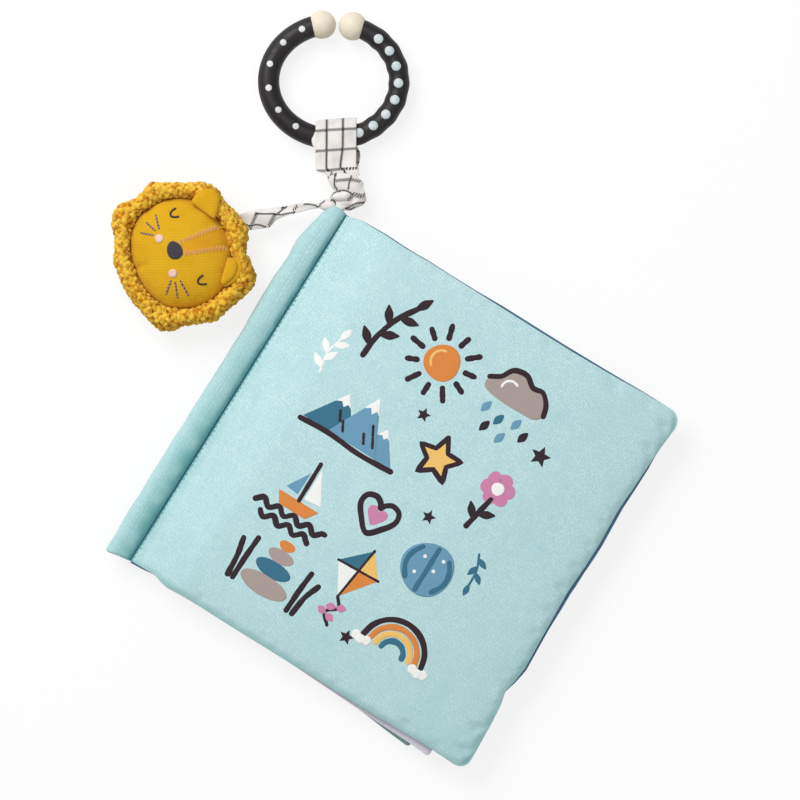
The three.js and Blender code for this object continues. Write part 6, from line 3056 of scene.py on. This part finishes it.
    def pebbles(self, x: float, y: float) -> None:
        """Paints a stack of pebbles with grass.

        Args:
            x: Its place across the cover.
            y: Its place up the cover.
        """
        for b, wide, high, ink in ((0, 10.5, 4.2, Ink.TAUPE), (7.2, 7.8, 3.4, Ink.TEAL),
                                   (13.2, 5.6, 2.8, Ink.TAUPE),
                                   (18.0, 3.4, 2.1, Ink.ORANGE)):
            angle = circle(14)
            self.shape(ink,
                       list(zip(x + wide * np.cos(angle) + 0.3 * np.sin(2 * angle),
                                y + b + high * np.sin(angle))))
        for a, lean, high in ((-14.5, -2.2, 12), (-12.2, 0.6, 15), (13.0, 1.0, 14),
                              (15.6, 3.4, 11)):
            self.line(Ink.DARK,
                      [(x + a, y - 3.6), (x + a + lean * 0.3, y + high * 0.4),
                       (x + a + lean, y + high)])

    def kite(self, x: float, y: float) -> None:
        """Paints a kite with a tail of bows.

        Args:
            x: Its place across the cover.
            y: Its place up the cover.
        """
        top, right, low, left = (x + 2, y + 13), (x + 9.5, y + 3.5), (x - 1, y - 10), (x - 8.5,
                                                                                       y + 2.6)
        middle = (x + 0.7, y + 2.9)
        for ink, a, b in ((Ink.YELLOW, top, right), (Ink.ORANGE, right, low),
                          (Ink.WHITE, low, left),
                          (Ink.TEAL, left, top)):
            self.shape(ink, [middle, a, b], curved=False)
        self.line(Ink.DARK, [top, low], 0.5, curved=False)
        self.line(Ink.DARK, [left, right], 0.5, curved=False)
        self.line(Ink.DARK, [low, (x + 1.6, y - 14), (x - 2.2, y - 18), (x + 1.4, y - 22)], 0.6)
        for a, b, turn in ((0.8, -14.2, 20), (-1.5, -18.4, -15)):
            self.leaf(Ink.PINK, x + a, y + b, 4.2, 3.2, turn)
            self.leaf(Ink.PINK, x + a, y + b, 4.2, 3.2, turn + 180)

    def rainbow(self, x: float, y: float) -> None:
        """Paints a rainbow.

        Args:
            x: Its place across the cover.
            y: Its place up the cover.
        """
        for ink, reach in ((Ink.DARK, 13.4), (Ink.ORANGE, 10.4), (Ink.YELLOW, 7.6),
                           (Ink.TEAL, 4.8)):
            self.arc(ink, x, y, reach, 4, 176, 1.05)
        for a in (-13.4, 13.0):
            for i, b in enumerate((-2.4, 2.4, 0.0)):
                self.disc(Ink.WHITE, x + a + b, y - 1.6 + 0.3 * abs(b), 1.9, 5 + i)

    def build(self) -> None:
        """Paints the whole print and dresses one piece for each ink."""
        self.sprig(Ink.DARK, [(-37, 37), (-36.2, 46), (-33, 56), (-28, 64)],
                   [(0.2, 50), (0.38, -50), (0.56, 50), (0.72, -52), (0.96, 4)], 8.4, 3.6)
        self.sun(-8.5, 51)
        self.rain(24, 55)
        self.star(44.5, 40, 4.4, False)
        self.hills(-24, 4)
        self.star(10.5, 17.5, 9.4, True)
        self.flower(37, 20)
        self.star(-3.8, 29.5, 3.0, False)
        self.boat(-28, -27)
        self.heart(1.5, -14.5)
        self.ball(30, -22)
        self.pebbles(-22, -62)
        self.kite(6.5, -40)
        self.rainbow(35.5, -58)
        self.star(19.5, -4, 3.0, False)
        self.star(17.0, -62, 3.2, False)
        self.sprig(Ink.TEAL, [(44.5, -6), (47, -12), (47.5, -19)],
                   [(0.15, 40), (0.4, -40), (0.6, 40), (0.95, 0)],
                   5.2, 2.4, 0.4)
        self.sprig(Ink.WHITE, [(-48, 22), (-49.5, 30), (-47.5, 38)],
                   [(0.15, 42), (0.35, -42), (0.55, 42), (0.75, -42),
                    (0.97, 0)], 6.4, 2.8, 0.35)
        for ink, pieces in self.made.items():
            name = f"cover_print_{ink.name.lower()}"
            dress(join(name, pieces), make(ink.value), Body.FRONT_COVER, "aqua_cloth")


def leaves() -> list[Leaf]:
    """Returns the four leaves, from the back of the book.

    Returns:
        The leaves.
    """
    return [
        Leaf("back_cover", Body.BOOK, 0, 0.0, 0.0, "lining", "cloth", ("blue_cloth", "aqua_cloth"),
             (BLUE, AQUA)),
        Leaf("rear_page", Body.REAR_PAGE, 1, 21.6 * MM, 4.3 * MM, "lining", "cloth",
             ("teal_cloth", "lilac_cloth"), (TEAL, LILAC), slip=3.0, corner=1.5 * MM),
        Leaf("front_page", Body.FRONT_PAGE, 2, 13.3 * MM, 3.2 * MM, "cloth", "lining",
             ("lilac_cloth", "teal_cloth"), (LILAC, TEAL), slip=1.6, corner=1.5 * MM),
        Leaf("front_cover", Body.FRONT_COVER, 3, 0.0, 0.0, "cloth", "lining",
             ("aqua_cloth", "blue_cloth"), (AQUA, BLUE), puff=(0.12 * MM, 0.9 * MM),
             steps=(120, 250)),
    ]


def main() -> None:
    """Builds the whole book in order."""
    logging.basicConfig(level=logging.INFO, format="%(name)s: %(message)s")
    Studio().build()
    for leaf in leaves():
        pieces = leaf.build()
    for name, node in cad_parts.items():
        if name.endswith("crinkle_film"):
            node.material_slots[0].material = make(FILM)
    CoverPrint(Drape(pieces[0])).build()
    roll = SpineRoll()
    roll.build()
    roll.fold()
    roll.stitches(1)
    roll.stitches(-1)
    LinkRing().build()
    RingStrap().build()
    StrapKnot().build()
    LionStrap().build()
    LionHead().build()


if __name__ == "__main__":
    main()
